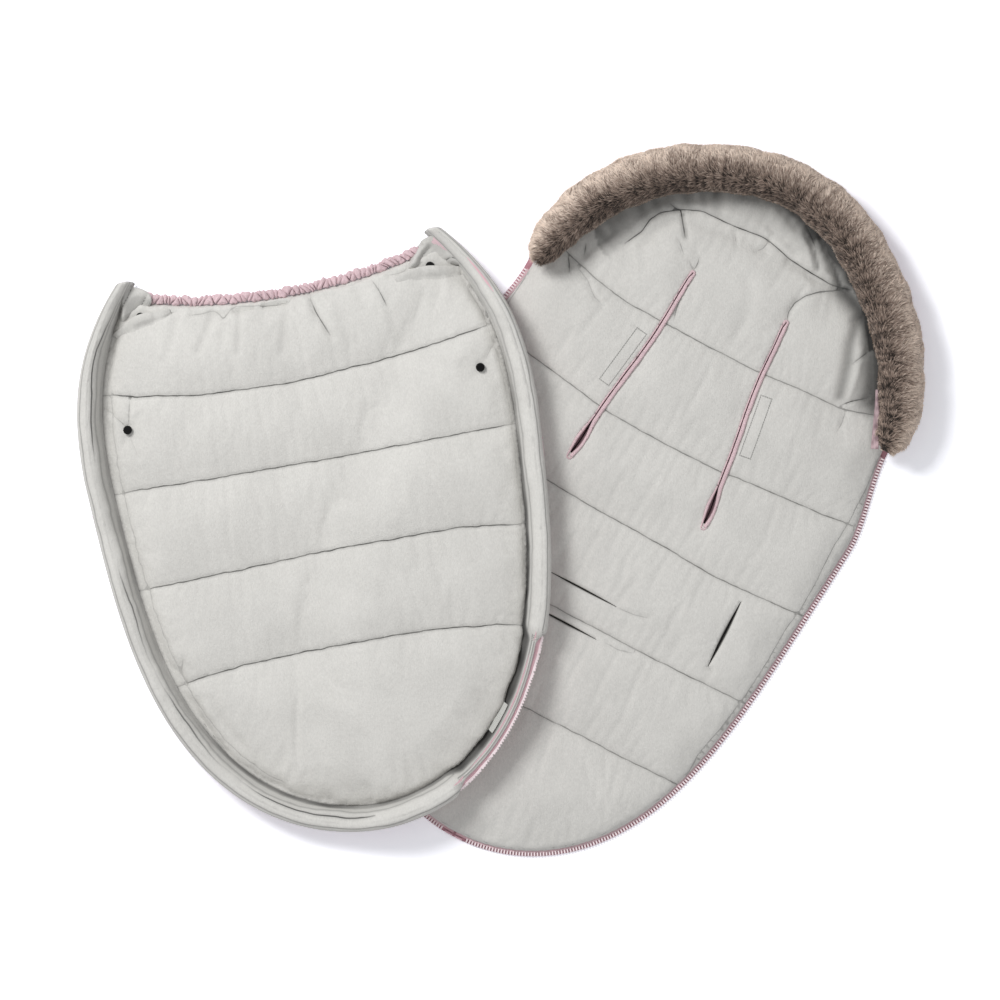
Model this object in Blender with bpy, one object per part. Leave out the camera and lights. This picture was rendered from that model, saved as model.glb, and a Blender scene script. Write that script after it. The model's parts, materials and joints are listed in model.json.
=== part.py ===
"""Stroller footmuff, unzipped into its two halves and laid out flat with the lining up.

The back half is a long quilted mattress with a hooded top, a fur collar round the hood, two bound
shoulder-harness slots, two crotch slots and two waist slots, and an open zip round its edge.
The front cover is a shallow quilted tray: a panel, a standing gusset round it, the other half of the
zip along the rim, a gathered top edge and four press studs. It lies beside the back half and partly
on it, turned by COVER_TURN.

Frame: the origin is on the underside of the back half, on its middle line. +Y runs up the back half
to the hood, +X to its right as it is seen from above, +Z up. Sizes are in metres.
"""

import math

import bmesh
import bpy
from mathutils import Matrix, Vector
from mathutils.bvhtree import BVHTree

# Cloth, filling and gaps
CLOTH = 0.0025
FLEECE = 0.0020
CLEAR = 0.0003
WADDING_SINK = 0.0006
CUT_OVERRUN = 0.020

# Back half in plan
BACK_HALF_WIDTH = 0.263
BACK_WIDEST_Y = 0.076
BACK_REACH = 0.533
BACK_TAPER_SHARE = 0.16
BACK_ROUND_POWER = 4.5
BACK_PAD_INSET = 0.009
BACK_WADDING_INSET = 0.021
HOOD_Y = 0.200
HOOD_NARROWING = 0.017
HOOD_RADIUS = BACK_HALF_WIDTH - HOOD_NARROWING

# Quilting of the back half: the channels from the top down to the last seam, which leaves the
# foot, and how much each seam bows
BACK_CHANNELS = (0.099, 0.138, 0.127, 0.112, 0.123, 0.122)
BACK_SEAM_BOWS = (0.0, 0.020, 0.013, 0.002, 0.0, 0.0)
BACK_EDGE_HEIGHT = 0.0062
BACK_SEAM_HEIGHT = 0.0135
BACK_CROWN_HEIGHT = 0.0200
BACK_ROLL = 0.080
SEAM_SHOULDER = 0.008
HOOD_RISE = 0.0040
HOOD_RISE_START = 0.150
HOOD_RISE_END = 0.200
HOOD_FALL_START = 0.214
HOOD_FALL_END = 0.230

# Hood rim and fur collar
FUR_INSET = 0.018
FUR_RADIUS = HOOD_RADIUS - FUR_INSET
FUR_HALF_WIDTH = 0.030
FUR_HALF_HEIGHT = 0.024
FUR_HEIGHT = 0.0430
FUR_TAIL_SHARE = 0.72
HOOD_WALL_GAP = 0.0006
HOOD_WALL_LEAN = 0.005
HOOD_WALL_SHARE = 0.83
HOOD_ELASTIC_RADIUS = 0.0020
HOOD_ELASTIC_INSET = 0.0030

# Harness slots: the middles of the upper and lower end of the right one, then the slits
SHOULDER_SLOT_TOP = (0.064, 0.277)
SHOULDER_SLOT_FOOT = (0.091, 0.014)
SHOULDER_SLOT_OPEN = 0.0070
BINDING_WALL = 0.0022
BINDING_STAND = 0.0014
CROTCH_SLOT_YS = (-0.120, -0.166)
CROTCH_SLOT_LENGTH = 0.089
WAIST_SLOT_X = 0.173
WAIST_SLOT_Y = -0.088
WAIST_SLOT_LENGTH = 0.090
SLIT_WIDTH = 0.0060
SLIT_WADDING_MARGIN = 0.0024

# Hook patches sewn to the outside beside the shoulder slots
PATCH_LENGTH = 0.077
PATCH_WIDTH = 0.014
PATCH_THICKNESS = 0.0012
PATCH_GAP = 0.0010
PATCH_PLACE_SHARE = 0.495

# Zip
TAPE = 0.0008
TAPE_SHOWN = 0.0062
TAPE_SEWN = 0.0045
TOOTH_REACH = 0.0040
TOOTH_PITCH = 0.0037
TOOTH_SPINE = 0.0013
TOOTH_THICKNESS = 0.0030
ZIP_TOP_Y = 0.190
ZIP_FOOT_GAP = 0.003
PIN_LENGTH = 0.010
PIN_RADIUS = 0.0012

# Front cover in plan, in its own frame
COVER_AT = (-0.2994, -0.2104)
COVER_TURN = math.radians(38)
COVER_HALF_WIDTH = 0.2735
COVER_WIDEST_Y = 0.120
COVER_REACH = 0.470
COVER_TAPER_SHARE = 0.10
COVER_ROUND_POWER = 3.4
COVER_EAR_Y = 0.343
COVER_EAR_REACH = 0.240
COVER_EAR_SHARE = 0.34
COVER_EAR_POWER = 2.6
COVER_PANEL_INSET = 0.027
COVER_WADDING_INSET = 0.003
COVER_TOP_Y = 0.296
COVER_TOP_BOW = 0.030

# Quilting of the cover, from the top down
COVER_CHANNELS = (0.100, 0.099, 0.108, 0.116)
COVER_SEAM_BOWS = (0.022, 0.0, -0.009, -0.013)
COVER_EDGE_HEIGHT = 0.0064
COVER_SEAM_HEIGHT = 0.0130
COVER_CROWN_HEIGHT = 0.0190
COVER_ROLL = 0.070

# How the cover lies up over the back half: inside distances from the back half's outline
DRAPE_START = -0.080
DRAPE_RUN = 0.085
DRAPE_CLEAR = 0.0004

# Gusset wall of the cover as (out, up) from the panel's edge, and how far the zip leans it
GUSSET_TOES = (0.0052, 0.0004)
GUSSET_BELLY = (0.0150, 0.0090)
GUSSET_RIM = (0.0195, 0.0380)
GUSSET_CLOTH = 0.0017
GUSSET_GAP = 0.0008
GUSSET_LIFT = 0.0034
GUSSET_SOFT_RISE = 0.0012
RIM_LEAN_BACK = 0.0065
OPEN_STRETCH_START = 0.070
OPEN_STRETCH_END = 0.360
OPEN_STRETCH_FADE = 0.090
KNEE_IN = 0.0012
KNEE_OUT = 0.0014
TAPE_HANG = math.radians(70)
TAPE_FLAT = math.radians(6)

# Gathered top edge of the cover
CASING_WIDTH = 0.0100
CASING_HEIGHT = 0.0070
CASING_WALL = 0.0012
CASING_WAVE = 0.0009
CASING_GATHER = 0.0150
CASING_LIFT = 0.0040
CASING_GAP = 0.0009
CASING_SPAN_SHARE = 0.86
ELASTIC_THICKNESS = 0.0012

# Press studs, as (name, distance from the panel's side edge, y)
STUD_RADIUS = 0.0055
STUD_THICKNESS = 0.0022
STUD_SOCKET_THICKNESS = 0.0014
STUD_DOME_SHARE = 0.8
STUD_PLACES = (("top", 0.029, 0.302), ("side", 0.030, 0.171))

# Zip slider with its pull, and the box at the zip's foot
SLIDER_LENGTH = 0.0110
SLIDER_PLATE = 0.0011
SLIDER_PLACE_Y = 0.075
LUG_LENGTH = 0.0024
LUG_WIDTH = 0.0012
LUG_STAND = 0.0026
LUG_GAP = 0.0024
PULL_LENGTH = 0.024
PULL_NECK = 0.0034
PULL_WIDTH = 0.0064
PULL_THICKNESS = 0.0014
BOX_LENGTH = 0.0070
BOX_WALL = 0.0009

# Woven care label, left bare: its length, height, thickness and distance round the rim
LABEL_LENGTH = 0.041
LABEL_WIDTH = 0.0090
LABEL_THICKNESS = 0.0009
LABEL_SEAT = 0.0006
LABEL_TOE = 0.0024
LABEL_PLACE = 0.206

# Facets
FLAT_ANGLE = math.radians(0.05)
BACK_COLUMNS = 10
COVER_COLUMNS = 10
COLUMN_CROWD_SHARE = 0.40
FOOT_END_SHARE = 0.990
HOOD_TOP_SHARE = 0.985
FOOT_ROW_SHARES = (0.045, 0.13, 0.27, 0.45, 0.72)
CROWN_ROW_SHARES = (0.30, 0.70)
SHOULDER_CROWN_SHARE = 0.62
BINDING_SIDE_SHARES = (0, 0.12, 0.225, 0.255, 0.285, 0.40, 0.55, 0.70, 0.735, 0.77, 0.88)
OUTLINE_STEPS = 90
SHELL_STEP = 0.026
WADDING_STEP = 0.052
STRIP_STEP = 0.024
TEETH_PER_STEP = 6
FUR_STEPS = 30
FUR_SIDES = 10
ELASTIC_SIDES = 6
GATHER_STEPS = 3
SLOT_END_STEPS = 4
STUD_SIDES = 12
PIN_SIDES = 8
LABEL_STEPS = 4

COLOURS = {
    "outer_cloth": ((0.85, 0.63, 0.67, 1), 0.80, 0),
    "fleece": ((0.63, 0.62, 0.59, 1), 0.95, 0),
    "wadding": ((0.90, 0.90, 0.88, 1), 1.00, 0),
    "fur": ((0.30, 0.23, 0.18, 1), 0.95, 0),
    "elastic": ((0.88, 0.87, 0.85, 1), 0.75, 0),
    "zip_tape": ((0.86, 0.58, 0.64, 1), 0.75, 0),
    "zip_teeth": ((0.90, 0.78, 0.79, 1), 0.40, 0),
    "hook_tape": ((0.72, 0.70, 0.67, 1), 0.90, 0),
    "black_plastic": ((0.02, 0.02, 0.02, 1), 0.35, 0),
    "zip_metal": ((0.82, 0.66, 0.68, 1), 0.35, 0.6),
    "label_weave": ((0.55, 0.56, 0.54, 1), 0.85, 0),
}
SIDES = (("left", -1), ("right", 1))


def clear_scene():
    """Start from an empty scene."""
    for old in list(bpy.data.objects):
        bpy.data.objects.remove(old, do_unlink=True)


def material(name):
    """The named cloth, plastic or metal as a Principled material."""
    found = bpy.data.materials.get(name)
    if found:
        return found
    colour, roughness, metallic = COLOURS[name]
    made = bpy.data.materials.new(name)
    made.use_nodes = True
    shader = made.node_tree.nodes["Principled BSDF"]
    shader.inputs["Base Color"].default_value = colour
    shader.inputs["Roughness"].default_value = roughness
    shader.inputs["Metallic"].default_value = metallic
    made.diffuse_color = colour
    return made


def as_object(bm, name, collection, parent):
    """A finished bmesh as an object with its faces pointing out."""
    bmesh.ops.recalc_face_normals(bm, faces=bm.faces[:])
    mesh = bpy.data.meshes.new(name)
    bm.to_mesh(mesh)
    bm.free()
    made = bpy.data.objects.new(name, mesh)
    collection.objects.link(made)
    made.parent = parent
    return made


def place(bm, name, finish, parent=None):
    """A named piece of the footmuff with its finish."""
    made = as_object(bm, name, PARTS, parent)
    made.data.materials.append(material(finish))
    return made


def guide(bm, name, parent=None):
    """A closed guide body that cuts or joins other pieces."""
    made = as_object(bm, name, CUTTERS, parent)
    made.hide_render = True
    made.display_type = "WIRE"
    return made


def combine(target, guides, operation="DIFFERENCE"):
    """Cut the guides out of the target, or join them to it."""
    for other in guides:
        modifier = target.modifiers.new(other.name, "BOOLEAN")
        modifier.operation = operation
        modifier.solver = "EXACT"
        modifier.object = other


def smooth(t):
    """Ease from 0 to 1 as t runs from 0 to 1."""
    t = min(max(t, 0), 1)
    return t * t * (3 - 2 * t)


def slab(columns, rows, upper_point, lower_point):
    """A closed quilted sheet: a grid whose upper and lower faces follow functions of (i, j)."""
    bm = bmesh.new()
    bmesh.ops.create_grid(bm, x_segments=columns, y_segments=rows, size=1)
    lower = bm.verts[:]
    lifted = bmesh.ops.extrude_face_region(bm, geom=bm.faces[:])["geom"]
    upper = [item for item in lifted if isinstance(item, bmesh.types.BMVert)]
    for verts, point in ((lower, lower_point), (upper, upper_point)):
        for vert in verts:
            i = round((vert.co.x + 1) / 2 * columns)
            j = round((vert.co.y + 1) / 2 * rows)
            vert.co = point(i, j)
    bmesh.ops.triangulate(bm, faces=bm.faces[:], quad_method="FIXED")
    bmesh.ops.dissolve_limit(bm, angle_limit=FLAT_ANGLE, verts=bm.verts[:], edges=bm.edges[:])
    return bm


def loft(sections, closed=False):
    """A closed body through like-numbered sections: a ring, or a strip with capped ends."""
    bm = bmesh.new()
    rings = [[bm.verts.new(point) for point in section] for section in sections]
    count = len(rings)
    for k in range(count if closed else count - 1):
        here, there = rings[k], rings[(k + 1) % count]
        for n in range(len(here)):
            m = (n + 1) % len(here)
            bm.faces.new((here[n], here[m], there[m], there[n]))
    bmesh.ops.triangulate(bm, faces=bm.faces[:], quad_method="SHORT_EDGE")
    if not closed:
        bm.faces.new(rings[0])
        bm.faces.new(reversed(rings[-1]))
    return bm


def tube(sections):
    """A hollow strip through sections of four outer corners followed by four inner ones."""
    bm = bmesh.new()
    rings = [[bm.verts.new(point) for point in section] for section in sections]
    outer, inner = (0, 1, 2, 3), (7, 6, 5, 4)
    for loop in (outer, inner):
        for here, there in zip(rings, rings[1:]):
            for a, b in zip(loop, loop[1:] + loop[:1]):
                bm.faces.new((here[a], here[b], there[b], there[a]))
    for ring in (rings[0], rings[-1]):
        for n in range(len(outer)):
            m = (n + 1) % len(outer)
            bm.faces.new((ring[outer[n]], ring[outer[m]], ring[inner[m]], ring[inner[n]]))
    return bm


def prism(outline, low, high):
    """A flat outline standing from one height to another."""
    bm = bmesh.new()
    face = bm.faces.new([bm.verts.new((x, y, low)) for x, y in outline])
    risen = bmesh.ops.extrude_face_region(bm, geom=[face])["geom"]
    for item in risen:
        if isinstance(item, bmesh.types.BMVert):
            item.co.z = high
    return bm


def drum(radius, low, high, sides, upper_share=1):
    """A disc standing from low to high; upper_share narrows its upper face."""
    bm = bmesh.new()
    middle = Matrix.Translation((0, 0, (low + high) / 2))
    bmesh.ops.create_cone(
        bm, cap_ends=True, segments=sides, radius1=radius, radius2=radius * upper_share,
        depth=high - low, matrix=middle,
    )
    return bm


def moved(bm, matrix):
    """The same bmesh, put in place by a matrix."""
    bmesh.ops.transform(bm, matrix=matrix, verts=bm.verts[:])
    return bm


def resample(points, step):
    """Points at even distances of about one step along a polyline, its ends kept."""
    lengths = [0]
    for a, b in zip(points, points[1:]):
        lengths.append(lengths[-1] + (b - a).length)
    count = max(round(lengths[-1] / step), 1)
    found = []
    k = 0
    for n in range(count + 1):
        goal = lengths[-1] * n / count
        while k < len(points) - 2 and lengths[k + 1] < goal:
            k += 1
        span = lengths[k + 1] - lengths[k]
        found.append(points[k].lerp(points[k + 1], (goal - lengths[k]) / span))
    return found


# Quilting, shared by both halves


def quilt_rows(foot_y, last, top_y, channels, bows):
    """Rows of a quilted pad as (y, bow, crown): each seam low, each channel full between.

    The rows run from foot_y to the last one; the channels are measured down from top_y.
    """
    seams = []
    y = top_y
    for length, bow in zip(channels, bows):
        y -= length
        seams.insert(0, (y, bow))
    ends = [(foot_y, 0)] + seams + [last]
    rows = [(foot_y, 0, 1)]
    for k, (below, above) in enumerate(zip(ends, ends[1:])):
        if k > 0:
            rows.append((below[0], below[1], 0))
            rows.append((below[0] + SEAM_SHOULDER, below[1], SHOULDER_CROWN_SHARE))
        for share in CROWN_ROW_SHARES if k > 0 else FOOT_ROW_SHARES:
            rows.append((below[0] + (above[0] - below[0]) * share,
                         below[1] + (above[1] - below[1]) * share, 1))
        if above is not last:
            rows.append((above[0] - SEAM_SHOULDER, above[1], SHOULDER_CROWN_SHARE))
    rows.append((last[0], last[1], 1))
    return rows


def column_share(i, columns):
    """Where a column stands across the pad, from -1 to 1, crowded towards the edges."""
    s = 2 * i / columns - 1
    return s * (1 + COLUMN_CROWD_SHARE * (1 - s * s))


def roll(inside, width):
    """Fullness of a pad at a distance inside its edge: 0 at the edge, 1 past the roll."""
    t = 1 - min(max(inside / width, 0), 1)
    return math.sqrt(1 - t**4)


def distance_to(point, outline):
    """Distance from a plan point to a closed or open outline of short steps."""
    best = None
    for a, b in zip(outline, outline[1:]):
        step = b - a
        part = min(max((point - a).dot(step) / step.length_squared, 0), 1)
        gap = (point - a - step * part).length
        best = gap if best is None else min(best, gap)
    return best


def crown_at(rows, s, y):
    """How full the quilting is at y on the line s across a pad."""
    shifted = [(row[0] + row[1] * s * s, row[2]) for row in rows]
    for below, above in zip(shifted, shifted[1:]):
        if y <= above[0]:
            part = min(max((y - below[0]) / (above[0] - below[0]), 0), 1)
            return below[1] + (above[1] - below[1]) * part
    return shifted[-1][1]


# The back half's outline and its quilted height


def back_half_width(y, inset):
    """Half the width of the back half at y, drawn in from the zip's outer edge by inset."""
    width = BACK_HALF_WIDTH - inset
    radius = HOOD_RADIUS - inset
    if y <= BACK_WIDEST_Y:
        t = min((BACK_WIDEST_Y - y) / (BACK_REACH - inset), 1)
        return width * (1 - BACK_TAPER_SHARE * t) * math.sqrt(1 - t**BACK_ROUND_POWER)
    if y <= HOOD_Y:
        return width + (radius - width) * smooth((y - BACK_WIDEST_Y) / (HOOD_Y - BACK_WIDEST_Y))
    return math.sqrt(max(radius**2 - (y - HOOD_Y) ** 2, 0))


def back_side(inset, top_y):
    """The right side of the back half's outline, from top_y down to the middle of the foot."""
    width = BACK_HALF_WIDTH - inset
    reach = BACK_REACH - inset
    points = []
    for n in range(OUTLINE_STEPS):
        y = top_y + (BACK_WIDEST_Y - top_y) * n / OUTLINE_STEPS
        points.append(Vector((back_half_width(y, inset), y)))
    for n in range(OUTLINE_STEPS + 1):
        angle = math.pi / 2 * n / OUTLINE_STEPS
        t = math.sin(angle) ** (2 / BACK_ROUND_POWER)
        x = width * (1 - BACK_TAPER_SHARE * t) * math.cos(angle)
        points.append(Vector((x, BACK_WIDEST_Y - reach * t)))
    return points


def hood_arc(inset):
    """The right half of the hood's outline, from its top down to HOOD_Y."""
    radius = HOOD_RADIUS - inset
    turns = [math.pi / 2 * n / OUTLINE_STEPS for n in range(OUTLINE_STEPS)]
    return [Vector((radius * math.sin(a), HOOD_Y + radius * math.cos(a))) for a in turns]


def back_outline(inset, step):
    """The whole outline of the back half, clockwise from the top of the hood."""
    right = resample(hood_arc(inset) + back_side(inset, HOOD_Y), step)
    left = [Vector((-point.x, point.y)) for point in reversed(right[1:-1])]
    return right + left


def back_rows():
    """Rows of the back half from the foot to the top of the hood."""
    foot = BACK_WIDEST_Y - (BACK_REACH - BACK_PAD_INSET) * FOOT_END_SHARE
    top = HOOD_Y + (HOOD_RADIUS - BACK_PAD_INSET) * HOOD_TOP_SHARE
    return quilt_rows(foot, (top, 0), HOOD_Y + HOOD_RADIUS, BACK_CHANNELS, BACK_SEAM_BOWS)


def hood_rise(x, y):
    """How far the hood's lining climbs towards the fur collar and drops away below it."""
    reach = math.hypot(x, y - HOOD_Y)
    above = smooth((y - HOOD_SEAM_Y) / SEAM_SHOULDER)
    climb = smooth((reach - HOOD_RISE_START) / (HOOD_RISE_END - HOOD_RISE_START))
    fall = smooth((reach - HOOD_FALL_START) / (HOOD_FALL_END - HOOD_FALL_START))
    return HOOD_RISE * above * climb * (1 - fall)


def back_face(x, y, crown):
    """Height of the back half's quilted face where the quilting has a given fullness."""
    inside = distance_to(Vector((x, y)), BACK_PAD_EDGE)
    full = BACK_SEAM_HEIGHT + (BACK_CROWN_HEIGHT - BACK_SEAM_HEIGHT) * crown
    return BACK_EDGE_HEIGHT + (full - BACK_EDGE_HEIGHT) * roll(inside, BACK_ROLL) + hood_rise(x, y)


def back_height(x, y):
    """Height of the back half's quilted face at a place."""
    s = x / back_half_width(y, BACK_PAD_INSET)
    return back_face(x, y, crown_at(BACK_ROWS, s, y))


def back_layer(rows, columns, inset, drop, level):
    """One layer of the back half, from a drop below its face to a drop or a level beneath."""

    def face(i, j):
        s = column_share(i, columns)
        y = rows[j][0] + rows[j][1] * s * s
        x = s * back_half_width(y, inset)
        return x, y, back_face(x, y, rows[j][2])

    def upper(i, j):
        x, y, height = face(i, j)
        return Vector((x, y, height - drop))

    def lower(i, j):
        x, y, height = face(i, j)
        return Vector((x, y, level if level is not None else height - drop - FLEECE))

    return slab(columns, len(rows) - 1, upper, lower)


# Slots of the back half


def stadium(start, end, width):
    """The outline of a slot with round ends between two middle points."""
    start, end = Vector(start), Vector(end)
    along = (end - start).normalized()
    side = Vector((-along.y, along.x))
    points = []
    for centre, facing in ((end, 1), (start, -1)):
        for n in range(SLOT_END_STEPS + 1):
            angle = math.pi * n / SLOT_END_STEPS
            bend = along * math.sin(angle) - side * math.cos(angle)
            points.append(centre + bend * facing * width / 2)
    return [(point.x, point.y) for point in points]


def slit_middles():
    """The middle lines of the crotch and waist slits, ends drawn in by their round ends."""
    lines = {}
    reach = (CROTCH_SLOT_LENGTH - SLIT_WIDTH) / 2
    for name, y in zip(("upper", "lower"), CROTCH_SLOT_YS):
        lines["crotch_" + name] = ((-reach, y), (reach, y))
    reach = (WAIST_SLOT_LENGTH - SLIT_WIDTH) / 2
    for name, side in SIDES:
        x = side * WAIST_SLOT_X
        lines["waist_" + name] = ((x, WAIST_SLOT_Y - reach), (x, WAIST_SLOT_Y + reach))
    return lines


def shoulder_middle(side):
    """The middle line of one shoulder slot, from its foot to its top."""
    foot = (side * SHOULDER_SLOT_FOOT[0], SHOULDER_SLOT_FOOT[1])
    top = (side * SHOULDER_SLOT_TOP[0], SHOULDER_SLOT_TOP[1])
    return foot, top


def slot_cutters(kind, margin):
    """Guides for all six slots, each wider than the slot by a margin on every side."""
    low, high = -CUT_OVERRUN, BACK_CROWN_HEIGHT + CUT_OVERRUN
    found = []
    for name, (start, end) in slit_middles().items():
        outline = stadium(start, end, SLIT_WIDTH + 2 * margin)
        found.append(guide(prism(outline, low, high), kind + "_" + name))
    width = SHOULDER_SLOT_OPEN + 2 * (BINDING_WALL + CLEAR)
    for name, side in SIDES:
        outline = stadium(*shoulder_middle(side), width + 2 * margin)
        found.append(guide(prism(outline, low, high), kind + "_shoulder_" + name))
    return found


def slot_binding(side):
    """Bias binding round a shoulder slot: a ring through the layers, standing above the lining."""
    inner = stadium(*shoulder_middle(side), SHOULDER_SLOT_OPEN)
    outer = stadium(*shoulder_middle(side), SHOULDER_SLOT_OPEN + 2 * BINDING_WALL)
    sections = []
    count = len(inner)
    for n in range(count):
        m = (n + 1) % count
        long_side = math.dist(inner[n], inner[m]) > SHOULDER_SLOT_OPEN
        for share in BINDING_SIDE_SHARES if long_side else (0,):
            near = Vector(inner[n]).lerp(Vector(inner[m]), share)
            far = Vector(outer[n]).lerp(Vector(outer[m]), share)
            top = back_height(near.x, near.y) + BINDING_STAND
            sections.append([(near.x, near.y, CLEAR), (far.x, far.y, CLEAR),
                             (far.x, far.y, top), (near.x, near.y, top)])
    return loft(sections, closed=True)


def patch_outline(side, margin):
    """The slanted rectangle of a hook patch beside a shoulder slot."""
    foot, top = (Vector(point) for point in shoulder_middle(side))
    along = (top - foot).normalized()
    out = Vector((along.y, -along.x)) * side
    offset = SHOULDER_SLOT_OPEN / 2 + BINDING_WALL + PATCH_GAP + PATCH_WIDTH / 2
    middle = foot.lerp(top, PATCH_PLACE_SHARE) + out * offset
    half_length = along * (PATCH_LENGTH / 2 + margin)
    half_width = out * (PATCH_WIDTH / 2 + margin)
    corners = (middle - half_length - half_width, middle + half_length - half_width,
               middle + half_length + half_width, middle - half_length + half_width)
    return [(corner.x, corner.y) for corner in corners]


# Pieces of the back half


def make_back_shell():
    """The outer cloth under the mattress, with the hook patches sunk in its outside."""
    outline = [(point.x, point.y) for point in back_outline(BACK_PAD_INSET, SHELL_STEP)]
    shell = place(prism(outline, 0, CLOTH), "back_outer_shell", "outer_cloth")
    pockets = []
    for name, side in SIDES:
        pocket = prism(patch_outline(side, CLEAR), -CUT_OVERRUN, PATCH_THICKNESS + CLEAR)
        pockets.append(guide(pocket, "patch_pocket_" + name))
        place(prism(patch_outline(side, 0), 0, PATCH_THICKNESS), "hook_patch_" + name, "hook_tape")
    combine(shell, slot_cutters("shell_slot", 0) + pockets)


def make_back_filling():
    """The wadding and the two lining panels, which meet at the hood's seam."""
    drop = FLEECE + CLEAR + WADDING_SINK
    filling = back_layer(BACK_ROWS, BACK_COLUMNS, BACK_PAD_INSET, drop, CLOTH + CLEAR)
    wadding = place(filling, "back_wadding", "wadding")
    outline = [(point.x, point.y) for point in back_outline(BACK_WADDING_INSET, WADDING_STEP)]
    edge = guide(prism(outline, -CUT_OVERRUN, CUT_OVERRUN * 2), "wadding_edge")
    combine(wadding, [edge], "INTERSECT")
    combine(wadding, slot_cutters("wadding_slot", SLIT_WADDING_MARGIN))

    seam = BACK_ROWS.index(next(row for row in BACK_ROWS if row[0] == HOOD_SEAM_Y))
    lining = place(back_layer(BACK_ROWS[: seam + 1], BACK_COLUMNS, BACK_PAD_INSET, 0, None),
                   "back_lining", "fleece")
    combine(lining, slot_cutters("lining_slot", 0))
    first = BACK_ROWS[seam]
    hood_rows = [(first[0] + CLEAR, first[1], first[2])] + BACK_ROWS[seam + 1:]
    place(back_layer(hood_rows, BACK_COLUMNS, BACK_PAD_INSET, 0, None), "hood_lining", "fleece")
    for name, side in SIDES:
        place(slot_binding(side), "shoulder_slot_binding_" + name, "outer_cloth")


def hood_ring(profile_at):
    """Sections round the hood from its left end over the top to its right end."""
    sections = []
    centre = Vector((0, HOOD_Y, 0))
    for n in range(FUR_STEPS + 1):
        angle = math.pi * (1 - n / FUR_STEPS)
        out = Vector((math.cos(angle), math.sin(angle), 0))
        at_end = n in (0, FUR_STEPS)
        sections.append([centre + out * radius + Vector((0, 0, z)) for radius, z in profile_at(at_end)])
    return loft(sections)


def oval(radius, height, half_width, half_height, sides):
    """Points round an oval section of the hood's rim."""
    turns = [2 * math.pi * (k + 0.5) / sides for k in range(sides)]
    return [(radius + half_width * math.cos(a), height + half_height * math.sin(a)) for a in turns]


def make_hood():
    """The hood's outer cloth, the elastic in its rim and the fur collar on top."""
    foot = HOOD_RADIUS - BACK_PAD_INSET + HOOD_WALL_GAP
    top = FUR_HEIGHT - FUR_HALF_HEIGHT * HOOD_WALL_SHARE - CLEAR
    lean = HOOD_WALL_LEAN
    wall = [(foot, 0), (foot + CLOTH, 0), (foot + CLOTH + lean, top), (foot + lean, top)]
    under_fur = FUR_HEIGHT - FUR_HALF_HEIGHT * math.cos(math.pi / FUR_SIDES)
    elastic_height = under_fur - CLEAR - HOOD_ELASTIC_RADIUS

    def elastic(at_end):
        return oval(foot - HOOD_ELASTIC_INSET, elastic_height, HOOD_ELASTIC_RADIUS,
                    HOOD_ELASTIC_RADIUS, ELASTIC_SIDES)

    def fur(at_end):
        size = FUR_TAIL_SHARE if at_end else 1
        return oval(FUR_RADIUS, FUR_HEIGHT, FUR_HALF_WIDTH * size, FUR_HALF_HEIGHT * size, FUR_SIDES)

    place(hood_ring(lambda at_end: wall), "hood_outer_shell", "outer_cloth")
    place(hood_ring(elastic), "hood_elastic", "elastic")
    place(hood_ring(fur), "fur_collar", "fur")


def teeth_comb(frames):
    """A chain of teeth: a straight-backed comb between frames of four corner points each.

    Each frame has the near and far corner of the chain's lower face, then of its upper face.
    """
    bm = bmesh.new()
    spine = TOOTH_SPINE / TOOTH_REACH
    count = 2 * TEETH_PER_STEP
    backs, edges = [], []
    for frame in frames:
        backs.append([bm.verts.new(frame[k]) for k in (0, 2)])
    for step, (here, there) in enumerate(zip(frames, frames[1:])):
        teeth = []
        for n in range(count + 1):
            if n == 0 and edges:
                teeth.append(edges[-1][-1])
                continue
            share = spine if n % 2 == 0 else 1
            pair = []
            for k in (0, 2):
                near = Vector(here[k]).lerp(Vector(there[k]), n / count)
                far = Vector(here[k + 1]).lerp(Vector(there[k + 1]), n / count)
                pair.append(bm.verts.new(near.lerp(far, share)))
            teeth.append(pair)
        edges.append(teeth)
        middle = count // 2
        for k in (0, 1):
            for n in range(count):
                root = backs[step] if n < middle else backs[step + 1]
                bm.faces.new((root[k], teeth[n][k], teeth[n + 1][k]))
            bm.faces.new((backs[step][k], teeth[middle][k], backs[step + 1][k]))
        for below, above in zip(teeth, teeth[1:]):
            bm.faces.new((below[0], above[0], above[1], below[1]))
        bm.faces.new((backs[step][0], backs[step + 1][0], backs[step + 1][1], backs[step][1]))
    for back, tooth in ((backs[0], edges[0][0]), (backs[-1], edges[-1][-1])):
        bm.faces.new((back[0], tooth[0], tooth[1], back[1]))
    return bm


def strip_frames(side, near, far, thickness, step, foot_gap):
    """Corners of a level strip along one side of the back half, from its top to its foot."""
    path = resample(back_side(0, ZIP_TOP_Y), step)
    middle = Vector((0, BACK_WIDEST_Y))
    low, high = ZIP_LEVEL - thickness / 2, ZIP_LEVEL + thickness / 2
    frames = []
    for n, point in enumerate(path):
        along = path[min(n + 1, len(path) - 1)] - path[max(n - 1, 0)]
        out = Vector((along.y, -along.x)).normalized()
        if out.dot(point - middle) < 0:
            out.negate()
        inside, outside = point + out * near, point + out * far
        if n == len(path) - 1:
            inside.x = outside.x = foot_gap / 2
        frames.append([(side * inside.x, inside.y, low), (side * outside.x, outside.y, low),
                       (side * inside.x, inside.y, high), (side * outside.x, outside.y, high)])
    return frames


def strip(frames):
    """A plain strip through frames of four corner points each."""
    return loft([[frame[0], frame[1], frame[3], frame[2]] for frame in frames])


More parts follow.
